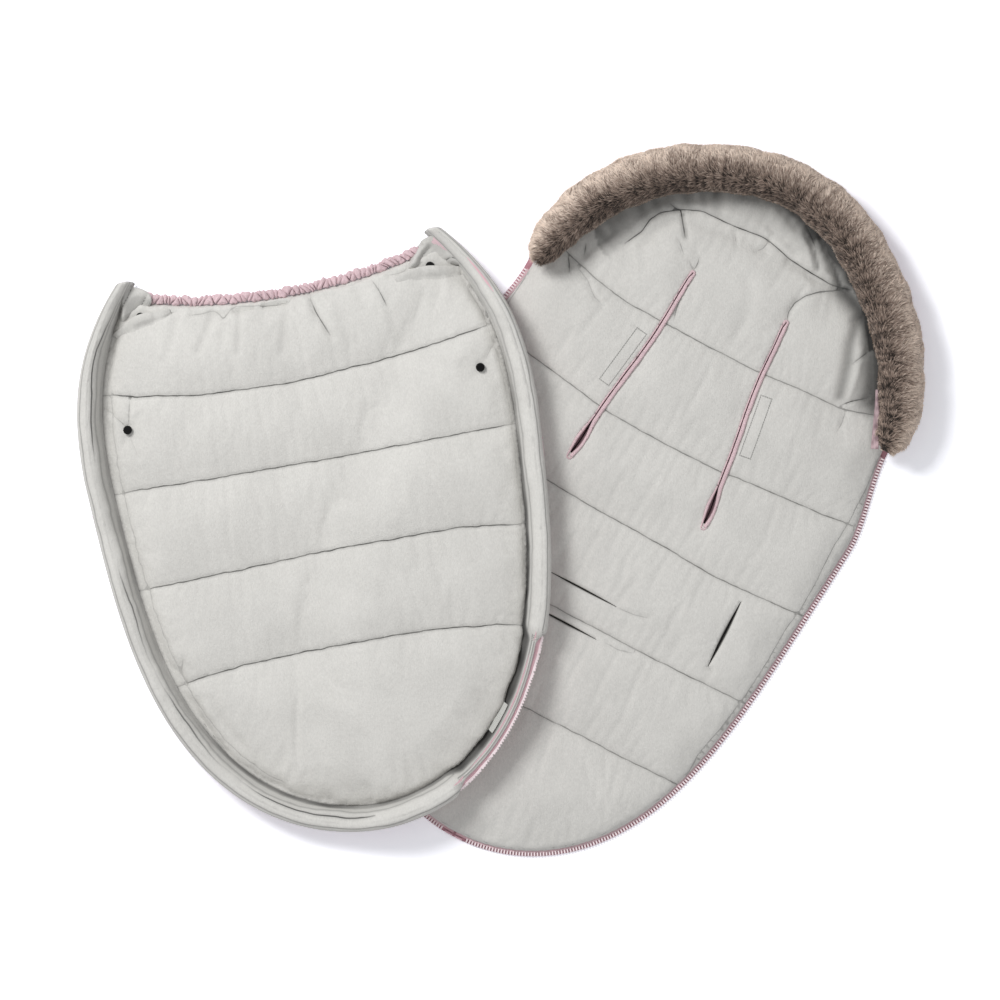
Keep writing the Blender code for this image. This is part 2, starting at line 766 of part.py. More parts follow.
def make_back_zip():
    """Tape, teeth and insertion pin of each zip half on the back half's edge."""
    foot_y = BACK_WIDEST_Y - BACK_REACH + TOOTH_REACH / 2
    lie_down = Matrix.Rotation(math.pi / 2, 4, "Y")
    for name, side in SIDES:
        edge = -TOOTH_REACH - CLEAR
        tape = strip_frames(side, edge - TAPE_SHOWN - TAPE_SEWN, edge, TAPE, STRIP_STEP, ZIP_FOOT_GAP)
        place(strip(tape), "back_zip_tape_" + name, "zip_tape")
        start = ZIP_FOOT_GAP + 2 * PIN_LENGTH + 2 * CLEAR
        teeth = strip_frames(side, -TOOTH_REACH, 0, TOOTH_THICKNESS, CHAIN_STEP, start)
        place(teeth_comb(teeth), "back_zip_teeth_" + name, "zip_teeth")
        pin = drum(PIN_RADIUS, -PIN_LENGTH / 2, PIN_LENGTH / 2, PIN_SIDES)
        at = Vector((side * (ZIP_FOOT_GAP + PIN_LENGTH) / 2, foot_y, ZIP_LEVEL))
        place(moved(pin, Matrix.Translation(at) @ lie_down), "back_zip_pin_" + name, "zip_metal")


# The front cover's outline, drape and height


def cover_half_width(y, inset):
    """Half the width of the front cover at y, drawn in from its outer edge by inset."""
    width = COVER_HALF_WIDTH - inset
    if y <= COVER_WIDEST_Y:
        t = min((COVER_WIDEST_Y - y) / (COVER_REACH - inset), 1)
        return width * (1 - COVER_TAPER_SHARE * t) * math.sqrt(1 - t**COVER_ROUND_POWER)
    u = (y - COVER_WIDEST_Y) / COVER_EAR_REACH
    return width * (1 - COVER_EAR_SHARE * u**COVER_EAR_POWER)


def cover_side(inset):
    """The right side of the cover's outline, from the middle of its foot up to the ear."""
    points = []
    for n in range(OUTLINE_STEPS):
        angle = math.pi / 2 * (1 - n / OUTLINE_STEPS)
        t = math.sin(angle) ** (2 / COVER_ROUND_POWER)
        x = (COVER_HALF_WIDTH - inset) * (1 - COVER_TAPER_SHARE * t) * math.cos(angle)
        points.append(Vector((x, COVER_WIDEST_Y - (COVER_REACH - inset) * t)))
    for n in range(OUTLINE_STEPS + 1):
        y = COVER_WIDEST_Y + (COVER_EAR_Y - COVER_WIDEST_Y) * n / OUTLINE_STEPS
        points.append(Vector((cover_half_width(y, inset), y)))
    return points


def to_row(x, y):
    """A place in the cover's own frame, as a place in the footmuff's frame."""
    c, s = math.cos(COVER_TURN), math.sin(COVER_TURN)
    return COVER_AT[0] + x * c - y * s, COVER_AT[1] + x * s + y * c


def drape(x, y):
    """Height that the back half gives the cover's underside at a place in the cover's frame."""
    x, y = to_row(x, y)
    gap = distance_to(Vector((x, y)), BACK_EDGE)
    top = HOOD_Y + HOOD_RADIUS
    within = BACK_WIDEST_Y - BACK_REACH < y < top and abs(x) < back_half_width(y, 0)
    inside = gap if within else -gap
    return (BACK_CROWN_HEIGHT + DRAPE_CLEAR) * smooth((inside - DRAPE_START) / DRAPE_RUN)


def cover_rows():
    """Rows of the cover's panel from the foot to its gathered top edge."""
    foot = COVER_WIDEST_Y - (COVER_REACH - COVER_PANEL_INSET) * FOOT_END_SHARE
    last = (COVER_TOP_Y, COVER_TOP_BOW)
    rows = quilt_rows(foot, last, COVER_TOP_Y, COVER_CHANNELS, COVER_SEAM_BOWS)
    rows[-1] = (COVER_TOP_Y - SEAM_SHOULDER, COVER_TOP_BOW, SHOULDER_CROWN_SHARE)
    rows.append((COVER_TOP_Y, COVER_TOP_BOW, 0))
    return rows


def cover_face(x, y, crown):
    """Height of the cover's quilted face above its underside, where the quilting is so full."""
    inside = distance_to(Vector((abs(x), y)), COVER_PANEL_EDGE)
    full = COVER_SEAM_HEIGHT + (COVER_CROWN_HEIGHT - COVER_SEAM_HEIGHT) * crown
    return COVER_EDGE_HEIGHT + (full - COVER_EDGE_HEIGHT) * roll(inside, COVER_ROLL)


def cover_layer(inset, upper_level, lower_level):
    """One layer of the cover's panel; the levels turn the face's height into a height."""

    def shaped(level):
        def point(i, j):
            y, bow, crown = COVER_ROWS[j]
            s = column_share(i, COVER_COLUMNS)
            y = y + bow * s * s
            x = s * cover_half_width(y, COVER_PANEL_INSET)
            height = cover_face(x, y, crown)
            if i in (0, COVER_COLUMNS):
                x -= math.copysign(inset, x)
            return Vector((x, y, drape(x, y) + level(height)))
        return point

    return slab(COVER_COLUMNS, len(COVER_ROWS) - 1, shaped(upper_level), shaped(lower_level))


def cover_top_y(x):
    """Where the panel's top edge lies at x."""
    y = COVER_TOP_Y
    for _ in range(4):
        s = x / cover_half_width(y, COVER_PANEL_INSET)
        y = COVER_TOP_Y + COVER_TOP_BOW * s * s
    return y


# Stations round the cover's rim


def rim_stations(side, step):
    """Stations from the foot's middle up one side: rim, panel edge and distance round."""
    outer, inner = cover_side(0), cover_side(COVER_PANEL_INSET)
    paired = [Vector((a.x, a.y, b.x, b.y)) for a, b in zip(outer, inner)]
    lengths = [0]
    for a, b in zip(outer, outer[1:]):
        lengths.append(lengths[-1] + (b - a).length)
    count = round(lengths[-1] / step)
    found = []
    k = 0
    for n in range(count + 1):
        goal = lengths[-1] * n / count
        while k < len(paired) - 2 and lengths[k + 1] < goal:
            k += 1
        part = (goal - lengths[k]) / (lengths[k + 1] - lengths[k])
        both = paired[k].lerp(paired[k + 1], part)
        found.append((Vector((side * both[0], both[1])), Vector((side * both[2], both[3])), side * goal))
    return found


def whole_rim():
    """Stations from the left ear round the foot to the right ear."""
    left = rim_stations(-1, CHAIN_STEP)
    return list(reversed(left[1:])) + rim_stations(1, CHAIN_STEP)


def laid_open(distance):
    """1 where the zip lies spread outwards, on the right of the foot, and 0 elsewhere."""
    rise = smooth((distance - OPEN_STRETCH_START) / OPEN_STRETCH_FADE)
    fall = smooth((OPEN_STRETCH_END - distance) / OPEN_STRETCH_FADE)
    return rise * fall


def wall_line(distance):
    """The gusset's outer face as (out, up) from the panel's edge, at a distance round the rim."""
    rim = GUSSET_RIM[0] - RIM_LEAN_BACK * laid_open(distance)
    return [GUSSET_TOES, GUSSET_BELLY, (rim, GUSSET_RIM[1])]


def on_station(station, out, up):
    """A point at a distance out from the panel's edge and a height above the underside."""
    rim, base, distance = station
    at = base + (rim - base) * (out / COVER_PANEL_INSET)
    return Vector((at.x, at.y, drape(at.x, at.y) + up))


def gusset(inward, lift, thickness):
    """One layer of the gusset wall, moved inward from the outer face and lifted at its toes."""
    sections = []
    for station in whole_rim():
        outer = [(out - inward, up + lift) for out, up in wall_line(station[2])]
        outer[-1] = (outer[-1][0], GUSSET_RIM[1])
        inner = [(out - thickness, up + GUSSET_SOFT_RISE) for out, up in outer]
        inner[-1] = (inner[-1][0], GUSSET_RIM[1])
        sections.append([on_station(station, out, up) for out, up in outer + inner[::-1]])
    return loft(sections)


def make_cover_panel():
    """Outer cloth, wadding and quilted lining of the cover's panel."""
    lift = CLOTH + WADDING_SINK
    sink = FLEECE + CLEAR + WADDING_SINK
    place(cover_layer(0, lambda h: CLOTH, lambda h: 0), "cover_outer_shell", "outer_cloth", COVER)
    place(cover_layer(COVER_WADDING_INSET, lambda h: h - sink, lambda h: lift), "cover_wadding",
          "wadding", COVER)
    place(cover_layer(0, lambda h: h, lambda h: h - FLEECE), "cover_lining", "fleece", COVER)


def make_gusset():
    """Both layers of the standing wall round the panel."""
    place(gusset(0, 0, GUSSET_CLOTH), "gusset_outer", "outer_cloth", COVER)
    place(gusset(GUSSET_CLOTH + GUSSET_GAP, GUSSET_LIFT, FLEECE), "gusset_lining", "fleece", COVER)


# The zip on the cover's rim


def chain_line(distance):
    """Knee of the tape over the rim, the way it runs down, and its outward normal."""
    angle = TAPE_HANG + (TAPE_FLAT - TAPE_HANG) * laid_open(distance)
    rim = wall_line(distance)[-1]
    knee = (rim[0] + KNEE_OUT, rim[1] + CLEAR + TAPE / 2)
    return knee, (math.cos(angle), -math.sin(angle)), (math.sin(angle), math.cos(angle))


def chain_point(station, reach, off):
    """A point at a distance down the tape from its knee, off its middle by an amount."""
    knee, run, normal = chain_line(station[2])
    return on_station(station, knee[0] + run[0] * reach + normal[0] * off,
                      knee[1] + run[1] * reach + normal[1] * off)


def zip_path(side, foot_gap):
    """The stations of one zip half, starting beside the middle of the foot."""
    stations = rim_stations(side, CHAIN_STEP)
    rim, base, distance = stations[0]
    shift = Vector((side * foot_gap / 2, 0))
    stations[0] = (rim + shift, base + shift, side * foot_gap / 2)
    return stations


def cover_tape(side):
    """Zip tape over the rim: it lies on top of the wall, bends at the knee and hangs outside."""
    sections = []
    for station in zip_path(side, ZIP_FOOT_GAP):
        knee = chain_line(station[2])[0]
        half = TAPE / 2
        back = knee[0] - KNEE_OUT - KNEE_IN
        sections.append([
            on_station(station, back, knee[1] - half),
            on_station(station, knee[0] - half, knee[1] - half),
            chain_point(station, TAPE_SHOWN, -half),
            chain_point(station, TAPE_SHOWN, half),
            on_station(station, knee[0] + half, knee[1] + half),
            on_station(station, back, knee[1] + half),
        ])
    return loft(sections)


def cover_teeth(side):
    """The chain of teeth along the tape's edge, beyond the box at its foot."""
    near, far = TAPE_SHOWN + CLEAR, TAPE_SHOWN + CLEAR + TOOTH_REACH
    half = TOOTH_THICKNESS / 2
    frames = []
    for station in zip_path(side, ZIP_FOOT_GAP + 2 * BOX_LENGTH + 2 * CLEAR):
        frames.append([chain_point(station, near, -half), chain_point(station, far, -half),
                       chain_point(station, near, half), chain_point(station, far, half)])
    return teeth_comb(frames)


def chain_matrix(side, y, reach):
    """Axes on the chain at a place: X along it, Y down the tape and Z outwards.

    X points to the foot on the right side and to the ear on the left side.
    """
    stations = rim_stations(side, CHAIN_STEP)
    above = next(n for n, station in enumerate(stations) if station[0].y >= y)
    before, low, high, after = stations[above - 2 : above + 2]
    part = (y - low[0].y) / (high[0].y - low[0].y)
    here = (low[0].lerp(high[0], part), low[1].lerp(high[1], part),
            low[2] + (high[2] - low[2]) * part)
    origin = chain_point(here, reach, 0)
    along = (chain_point(before, reach, 0) - chain_point(after, reach, 0)).normalized() * side
    down = (chain_point(here, reach + TOOTH_REACH, 0) - origin).normalized()
    down = (down - along * down.dot(along)).normalized()
    turn = Matrix((along, down, along.cross(down))).transposed().to_4x4()
    return Matrix.Translation(origin) @ turn


def slider_body():
    """A slider's cross-section round the chain, drawn out along it, from its own middle."""
    half = SLIDER_LENGTH / 2
    tooth, slit = TOOTH_REACH / 2 + CLEAR, TAPE / 2 + CLEAR
    inside = TOOTH_THICKNESS / 2 + CLEAR
    outside = inside + SLIDER_PLATE
    rear, front = -tooth - SLIDER_PLATE + CLEAR, tooth + SLIDER_PLATE
    profile = ((rear, -outside), (front, -outside), (front, outside), (rear, outside), (rear, slit),
               (-tooth, slit), (-tooth, inside), (tooth, inside), (tooth, -inside),
               (-tooth, -inside), (-tooth, -slit), (rear, -slit))
    return loft([[(x, y, z) for y, z in profile] for x in (-half, half)])


def slider_lug(name, way, parent):
    """One of the two lugs that hold the pull, sunk a little into the slider's outer plate."""
    face = TOOTH_THICKNESS / 2 + CLEAR + SLIDER_PLATE
    low, high = face - SLIDER_PLATE / 2, face + LUG_STAND
    near = LUG_GAP / 2
    far = near + LUG_WIDTH
    half = LUG_LENGTH / 2
    outline = ((-half, way * near), (half, way * near), (half, way * far), (-half, way * far))
    return guide(prism(outline, low, high), name, parent)


def pull_tab(way):
    """The flat pull, along X the given way: a neck between the lugs and a round-ended tab."""
    neck = LUG_GAP / 2 - CLEAR
    half = PULL_WIDTH / 2
    tip = PULL_THICKNESS / 2
    outline = [(-tip, -neck), (PULL_NECK, -neck), (PULL_NECK, -half)]
    outline += [(PULL_LENGTH - half + half * math.sin(a), -half * math.cos(a))
                for a in (math.pi * n / 6 for n in range(7))]
    outline += [(PULL_NECK, half), (PULL_NECK, neck), (-tip, neck)]
    return prism([(way * x, y) for x, y in outline], -tip, tip)


def make_cover_zip():
    """Tape, teeth, foot box, slider and pull of each zip half on the cover's rim."""
    reach = TAPE_SHOWN + CLEAR + TOOTH_REACH / 2
    pivot = TOOTH_THICKNESS / 2 + CLEAR + SLIDER_PLATE + LUG_STAND / 2
    for name, side in SIDES:
        place(cover_tape(side), "cover_zip_tape_" + name, "zip_tape", COVER)
        place(cover_teeth(side), "cover_zip_teeth_" + name, "zip_teeth", COVER)
        at = chain_matrix(side, SLIDER_PLACE_Y, reach)
        slider = place(slider_body(), "zip_slider_" + name, "zip_metal", COVER)
        slider.matrix_local = at
        lugs = []
        for end, way in (("upper", -1), ("lower", 1)):
            lug = slider_lug("lug_" + end + "_" + name, way, COVER)
            lug.matrix_local = at
            lugs.append(lug)
        combine(slider, lugs, "UNION")
        pull = place(pull_tab(side), "zip_pull_" + name, "zip_metal", COVER)
        pull.matrix_local = at @ Matrix.Translation((0, 0, pivot))
        place(foot_box(side), "cover_zip_box_" + name, "zip_metal", COVER)


def foot_box(side):
    """The retainer box at the foot of one zip half on the cover."""
    near = TAPE_SHOWN + CLEAR
    far = near + TOOTH_REACH + BOX_WALL
    half = TOOTH_THICKNESS / 2 + BOX_WALL
    rim, base, _ = rim_stations(side, CHAIN_STEP)[0]
    sections = []
    for x in (ZIP_FOOT_GAP / 2, ZIP_FOOT_GAP / 2 + BOX_LENGTH):
        shift = Vector((side * x, 0))
        station = (rim + shift, base + shift, side * x)
        sections.append([chain_point(station, near, -half), chain_point(station, far, -half),
                         chain_point(station, far, half), chain_point(station, near, half)])
    return loft(sections)


# Top edge, studs and label of the cover


def make_top_edge():
    """The gathered casing along the cover's top edge, and the elastic inside it."""
    span = cover_half_width(COVER_TOP_Y + COVER_TOP_BOW, COVER_PANEL_INSET) * CASING_SPAN_SHARE
    steps = round(2 * span / CASING_GATHER) * GATHER_STEPS
    casing, band = [], []
    for n in range(steps + 1):
        x = (2 * n / steps - 1) * span
        y = cover_top_y(x) + CASING_GAP
        wave = CASING_WAVE * math.sin(2 * math.pi * n / GATHER_STEPS)
        low = drape(x, y) + CASING_LIFT
        high = low + CASING_HEIGHT + wave
        far = y + CASING_WIDTH + wave
        wall = CASING_WALL
        casing.append([(x, y, low), (x, far, low), (x, far, high), (x, y, high),
                       (x, y + wall, high - wall), (x, far - wall, high - wall),
                       (x, far - wall, low + wall), (x, y + wall, low + wall)])
        if n % GATHER_STEPS:
            continue
        inner = wall + CLEAR
        near, off = y + inner, y + CASING_WIDTH - CASING_WAVE - inner
        bottom = low + inner
        top = bottom + ELASTIC_THICKNESS
        band.append([(x, near, bottom), (x, off, bottom), (x, off, top), (x, near, top)])
    place(tube(casing), "cover_top_casing", "outer_cloth", COVER)
    place(loft(band), "cover_top_elastic", "elastic", COVER)


def seat(height, x, y):
    """A place on a face of the cover with its Z axis square to it, clear of the whole stud."""
    reach = STUD_RADIUS
    slope_x = (height(x + reach, y) - height(x - reach, y)) / (2 * reach)
    slope_y = (height(x, y + reach) - height(x, y - reach)) / (2 * reach)
    up = Vector((-slope_x, -slope_y, 1)).normalized()
    at = Vector((x, y, height(x, y)))
    stand = 0
    for n in range(STUD_SIDES):
        angle = 2 * math.pi * n / STUD_SIDES
        rim_x, rim_y = x + reach * math.cos(angle), y + reach * math.sin(angle)
        stand = max(stand, (Vector((rim_x, rim_y, height(rim_x, rim_y))) - at).dot(up))
    return at + up * stand, up


def stud_matrix(place, up):
    """Axes of a stud or pocket at a place, square to the face."""
    return Matrix.Translation(place) @ up.to_track_quat("Z", "Y").to_matrix().to_4x4()


def make_studs():
    """Four press studs: a cap on the lining and a socket sunk in the outer cloth below it."""
    mesh = bpy.data.objects["cover_lining"].data
    faces = [tuple(face.vertices) for face in mesh.polygons]
    lining = BVHTree.FromPolygons([vert.co for vert in mesh.vertices], faces)
    sky = Vector((0, 0, COVER_CROWN_HEIGHT + BACK_CROWN_HEIGHT + CUT_OVERRUN))

    def lining_height(x, y):
        return lining.ray_cast(Vector((x, y, 0)) + sky, Vector((0, 0, -1)))[0].z

    pockets = []
    depth = STUD_SOCKET_THICKNESS + CLEAR
    for stud, from_edge, y in STUD_PLACES:
        for name, side in SIDES:
            x = side * (cover_half_width(y, COVER_PANEL_INSET) - from_edge)
            title = stud + "_" + name
            place_up, up = seat(lining_height, x, y)
            cap = drum(STUD_RADIUS, 0, STUD_THICKNESS, STUD_SIDES, STUD_DOME_SHARE)
            turn = stud_matrix(place_up + up * CLEAR, up)
            place(moved(cap, turn), "snap_cap_" + title, "black_plastic", COVER)
            below = stud_matrix(Vector((x, y, drape(x, y))), seat(drape, x, y)[1])
            socket = drum(STUD_RADIUS, 0, STUD_SOCKET_THICKNESS, STUD_SIDES)
            place(moved(socket, below), "snap_socket_" + title, "black_plastic", COVER)
            pocket = drum(STUD_RADIUS + CLEAR, -CUT_OVERRUN, depth, STUD_SIDES)
            pockets.append(guide(moved(pocket, below), "stud_pocket_" + title, COVER))
    combine(bpy.data.objects["cover_outer_shell"], pockets)


def make_label():
    """The bare woven label in the seam between the panel and the gusset."""
    toes = GUSSET_TOES[0] - GUSSET_CLOTH - GUSSET_GAP - FLEECE
    belly = GUSSET_BELLY[0] - GUSSET_CLOTH - GUSSET_GAP - FLEECE
    low = GUSSET_TOES[1] + GUSSET_LIFT + GUSSET_SOFT_RISE
    high = GUSSET_BELLY[1] + GUSSET_LIFT + GUSSET_SOFT_RISE
    run = Vector((belly - toes, high - low)).normalized()
    normal = Vector((-run.y, run.x))
    start = Vector((toes, low)) + run * LABEL_TOE + normal * LABEL_SEAT
    corners = (start, start + run * LABEL_WIDTH, start + run * LABEL_WIDTH + normal * LABEL_THICKNESS,
               start + normal * LABEL_THICKNESS)
    stations = [station for station in rim_stations(1, LABEL_LENGTH / LABEL_STEPS)
                if abs(station[2] - LABEL_PLACE) <= LABEL_LENGTH * (1 + 1 / LABEL_STEPS) / 2]
    sections = [[on_station(station, *corner) for corner in corners] for station in stations]
    place(loft(sections), "care_label", "label_weave", COVER)


clear_scene()
PARTS = bpy.data.collections.new("stroller_footmuff")
CUTTERS = bpy.data.collections.new("cutters")
bpy.context.scene.collection.children.link(PARTS)
bpy.context.scene.collection.children.link(CUTTERS)
COVER = bpy.data.objects.new("front_cover_frame", None)
PARTS.objects.link(COVER)
COVER.location = (*COVER_AT, 0)
COVER.rotation_euler = (0, 0, COVER_TURN)

ZIP_LEVEL = CLOTH + CLEAR + TAPE / 2
CHAIN_STEP = TEETH_PER_STEP * TOOTH_PITCH
BACK_ROWS = back_rows()
HOOD_SEAM_Y = next(row[0] for row in reversed(BACK_ROWS) if row[2] == 0)
BACK_EDGE = back_outline(0, STRIP_STEP / 2)
BACK_EDGE.append(BACK_EDGE[0])
BACK_PAD_EDGE = back_outline(BACK_PAD_INSET, STRIP_STEP / 2)
BACK_PAD_EDGE.append(BACK_PAD_EDGE[0])
COVER_ROWS = cover_rows()
COVER_PANEL_EDGE = resample(cover_side(COVER_PANEL_INSET), STRIP_STEP / 2)

make_back_shell()
make_back_filling()
make_hood()
make_back_zip()
make_cover_panel()
make_gusset()
make_cover_zip()
make_top_edge()
make_studs()
make_label()
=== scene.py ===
# %% [markdown]
# # A stroller footmuff, laid out unzipped
# The footmuff lies open on a pale table: the quilted back half with its fur-trimmed hood,
# and the loose front cover beside it, half on top of it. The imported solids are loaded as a
# fixed frame first, so that every soft piece made below can be set exactly where its solid is.

import json
import math

import bmesh
import bpy
import numpy as np
from mathutils import Matrix, Vector, noise
from mathutils.geometry import delaunay_2d_cdt
from mathutils.kdtree import KDTree


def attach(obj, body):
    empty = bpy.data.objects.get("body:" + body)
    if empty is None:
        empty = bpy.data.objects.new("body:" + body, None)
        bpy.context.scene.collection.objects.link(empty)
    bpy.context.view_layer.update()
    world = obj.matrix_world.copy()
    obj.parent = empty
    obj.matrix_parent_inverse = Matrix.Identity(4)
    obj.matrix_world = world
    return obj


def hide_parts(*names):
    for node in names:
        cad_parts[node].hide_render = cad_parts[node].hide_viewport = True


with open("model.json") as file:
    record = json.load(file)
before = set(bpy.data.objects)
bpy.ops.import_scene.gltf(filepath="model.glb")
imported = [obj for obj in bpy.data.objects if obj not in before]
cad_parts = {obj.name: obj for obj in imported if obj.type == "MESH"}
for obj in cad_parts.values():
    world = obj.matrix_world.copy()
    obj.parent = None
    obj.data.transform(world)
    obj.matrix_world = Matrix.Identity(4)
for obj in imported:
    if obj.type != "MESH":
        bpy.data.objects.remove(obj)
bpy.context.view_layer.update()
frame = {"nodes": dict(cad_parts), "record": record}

# %% [markdown]
# ## Camera
# The footmuff is seen from straight above, turned by 28 degrees. A long lens from five metres
# up keeps the high rims from leaning outwards, as a catalogue photographer would do it.

# %% Camera
VIEW_TURN = math.radians(28)
VIEW_CENTRE = (-0.1400, -0.0723)
VIEW_HEIGHT = 5.0
VIEW_SPAN = 1.2
MIDDLE_LEVEL = 0.02

camera_data = bpy.data.cameras.new("overhead_camera")
camera_data.lens = camera_data.sensor_width * (VIEW_HEIGHT - MIDDLE_LEVEL) / VIEW_SPAN
camera = bpy.data.objects.new("overhead_camera", camera_data)
camera.location = (*VIEW_CENTRE, VIEW_HEIGHT)
camera.rotation_euler = (0, 0, VIEW_TURN)
bpy.context.scene.collection.objects.link(camera)
bpy.context.scene.camera = camera
bpy.context.scene.view_settings.view_transform = "Standard"
print("lens", round(camera_data.lens, 1), "mm")

# %% [markdown]
# ## Measured places
# The outlines, seams and folds were measured on the photograph, where one step is 1.2 mm.
# `measured` turns such a place into metres on the back half, whose middle line is the Y axis.

# %% Measured places
PHOTO_STEP = 0.0012
PHOTO_ORIGIN = (631.3, 501.6)


def measured(*places):
    """Places on the photograph as points on the table, in metres."""
    c, s = math.cos(VIEW_TURN), math.sin(VIEW_TURN)
    found = []
    for x, y in places:
        across, down = x - PHOTO_ORIGIN[0], y - PHOTO_ORIGIN[1]
        found.append(((across * c + down * s) * PHOTO_STEP, (across * s - down * c) * PHOTO_STEP))
    return found


print("the crease above the right slot starts at", measured((740, 259))[0])

# %% [markdown]
# ## Wiring for the finishes
# A finish is a small network of shader nodes. `Wire` wraps one socket, so that sums on it read
# like sums and add the Math nodes by themselves. `Finish` holds one material and makes the rest.

# %% Wiring


class Wire:
    """A value inside a material; arithmetic on it adds Math nodes."""

    def __init__(self, finish, socket):
        self.finish, self.socket = finish, socket

    def math(self, operation, *values, **settings):
        return self.finish.node("Math", dict(operation=operation, **settings), dict(enumerate(values)))

    def __add__(self, other):
        return self.math("ADD", self, other)

    def __sub__(self, other):
        return self.math("SUBTRACT", self, other)

    def __mul__(self, other):
        return self.math("MULTIPLY", self, other)

    def __truediv__(self, other):
        return self.math("DIVIDE", self, other)

    def __rsub__(self, other):
        return self.math("SUBTRACT", other, self)

    def __pow__(self, other):
        return self.math("POWER", self, other)

    __radd__, __rmul__ = __add__, __mul__

    def absolute(self):
        return self.math("ABSOLUTE", self)

    def least(self, other):
        return self.math("MINIMUM", self, other)

    def most(self, other):
        return self.math("MAXIMUM", self, other)

    def between(self, low, high):
        """0 at low and below, 1 at high and above, smooth between."""
        settings = dict(interpolation_type="SMOOTHSTEP", clamp=True)
        return self.finish.node("MapRange", settings, {0: self, 1: low, 2: high, 3: 0.0, 4: 1.0})


class Finish:
    """One material, built from nodes."""

    def __init__(self, name):
        self.material = bpy.data.materials.new(name)
        self.material.use_nodes = True
        self.tree = self.material.node_tree
        self.shader = self.tree.nodes["Principled BSDF"]
        self.made = {}

    def node(self, kind, settings=None, links=None, output=0):
        node = self.tree.nodes.new("ShaderNode" + kind)
        for name, value in (settings or {}).items():
            if name == "stops":
                ramp = node.color_ramp.elements
                while len(ramp) < len(value):
                    ramp.new(0.5)
                for element, (at, colour) in zip(ramp, value):
                    element.position, element.color = at, (*colour, 1)
            else:
                setattr(node, name, value)
        for name, value in (links or {}).items():
            self.connect(node.inputs[name], value)
        return Wire(self, node.outputs[output])

    def connect(self, socket, value):
        if isinstance(value, Wire):
            self.tree.links.new(value.socket, socket)
        elif socket.type == "RGBA":
            socket.default_value = (*value[:3], 1)
        else:
            socket.default_value = value

    def place(self):
        """Where a point of the piece is, in metres."""
        if "place" not in self.made:
            self.made["place"] = self.node("TexCoord", output="Object")
        return self.made["place"]

    def axis(self, name, place=None):
        return self.node("SeparateXYZ", None, {0: place or self.place()}, output=name)

    def turned(self, angle, stretch=(1, 1, 1), centre=(0, 0, 0)):
        """The places turned about Z and stretched, to lay a weave along a piece."""
        settings = dict(vector_type="TEXTURE")
        links = {"Vector": self.place(), "Location": centre, "Rotation": (0, 0, angle), "Scale": stretch}
        return self.node("Mapping", settings, links)

    def grain(self, size, detail=2.0, rough=0.5, place=None):
        """Cloudy noise whose patches are about size metres wide."""
        links = {"Vector": place or self.place(), "Scale": 1 / size, "Detail": detail, "Roughness": rough}
        return self.node("TexNoise", None, links, output=0)

    def cells(self, size, place=None, feature="F1", scatter=1.0, output="Distance"):
        links = {"Vector": place or self.place(), "Scale": 1 / size, "Randomness": scatter}
        return self.node("TexVoronoi", dict(feature=feature), links, output=output)

    def carried(self, name):
        """A number that the piece's own points carry."""
        return self.node("Attribute", dict(attribute_name=name), output="Fac")

    def mixed(self, share, first, second):
        """A colour between two colours."""
        links = {0: share, 6: first, 7: second}
        return self.node("Mix", dict(data_type="RGBA"), links, output=2)

    def relief(self, height, depth, under=None, strength=1.0):
        """Bumps of a height field, depth metres deep."""
        links = {"Height": height, "Distance": depth, "Strength": strength}
        if under is not None:
            links["Normal"] = under
        return self.node("Bump", None, links)

    def surface(self, **sockets):
        for name, value in sockets.items():
            self.connect(self.shader.inputs[name.replace("_", " ")], value)
        return self.material


print("wiring ready")

# %% [markdown]
# ## Table and light
# The table is plain and pale. To a camera ray its cloth is a little brighter than to light
# that bounces, so it shows white where nothing shades it and still keeps the soft shadow.

# %% Table
TABLE_WIDTH = 9.0

table_mesh = bmesh.new()
bmesh.ops.create_grid(table_mesh, x_segments=1, y_segments=1, size=TABLE_WIDTH / 2)
table = bpy.data.objects.new("table", bpy.data.meshes.new("table"))
table_mesh.to_mesh(table.data)
table_mesh.free()
bpy.context.scene.collection.objects.link(table)

pale = Finish("pale_table")
pale.tree.nodes.remove(pale.shader)
seen = pale.node("LightPath", output="Is Camera Ray")
seen = seen.most(pale.node("LightPath", output="Is Glossy Ray"))
seen = seen.most(pale.node("LightPath", output="Is Transmission Ray"))
plain_side = pale.node("BsdfDiffuse", None, {"Color": (0.80, 0.80, 0.82)})
shown_side = pale.node("BsdfDiffuse", None, {"Color": (1.36, 1.37, 1.43)})
either = pale.node("MixShader", None, {0: seen, 1: plain_side, 2: shown_side})
pale.tree.links.new(either.socket, pale.tree.nodes["Material Output"].inputs["Surface"])
table.data.materials.append(pale.material)

# %% [markdown]
# A broad window light from the upper left models the seams, a weaker one from the lower right
# opens the shadows, and an even sky does the rest. Together they light a flat sheet at about
# one, so that a colour comes out as it is written.

# %% Lamps
SKY = 0.45
LAMPS = (("window", (-2.15, 0.62, 2.5), 1.05, 76.5), ("reflector", (1.7, -1.3, 2.6), 1.8, 15.0))

world = bpy.data.worlds.new("even_sky")
world.use_nodes = True
bpy.context.scene.world = world
nodes, links = world.node_tree.nodes, world.node_tree.links
nodes.clear()
path = nodes.new("ShaderNodeLightPath")
lit, seen_sky = nodes.new("ShaderNodeBackground"), nodes.new("ShaderNodeBackground")
lit.inputs[0].default_value, lit.inputs[1].default_value = (0.97, 0.98, 1.0, 1), SKY
seen_sky.inputs[0].default_value, seen_sky.inputs[1].default_value = (1, 1, 1, 1), 1.0
blend, out = nodes.new("ShaderNodeMixShader"), nodes.new("ShaderNodeOutputWorld")
links.new(path.outputs["Is Camera Ray"], blend.inputs[0])
links.new(lit.outputs[0], blend.inputs[1])
links.new(seen_sky.outputs[0], blend.inputs[2])
links.new(blend.outputs[0], out.inputs[0])

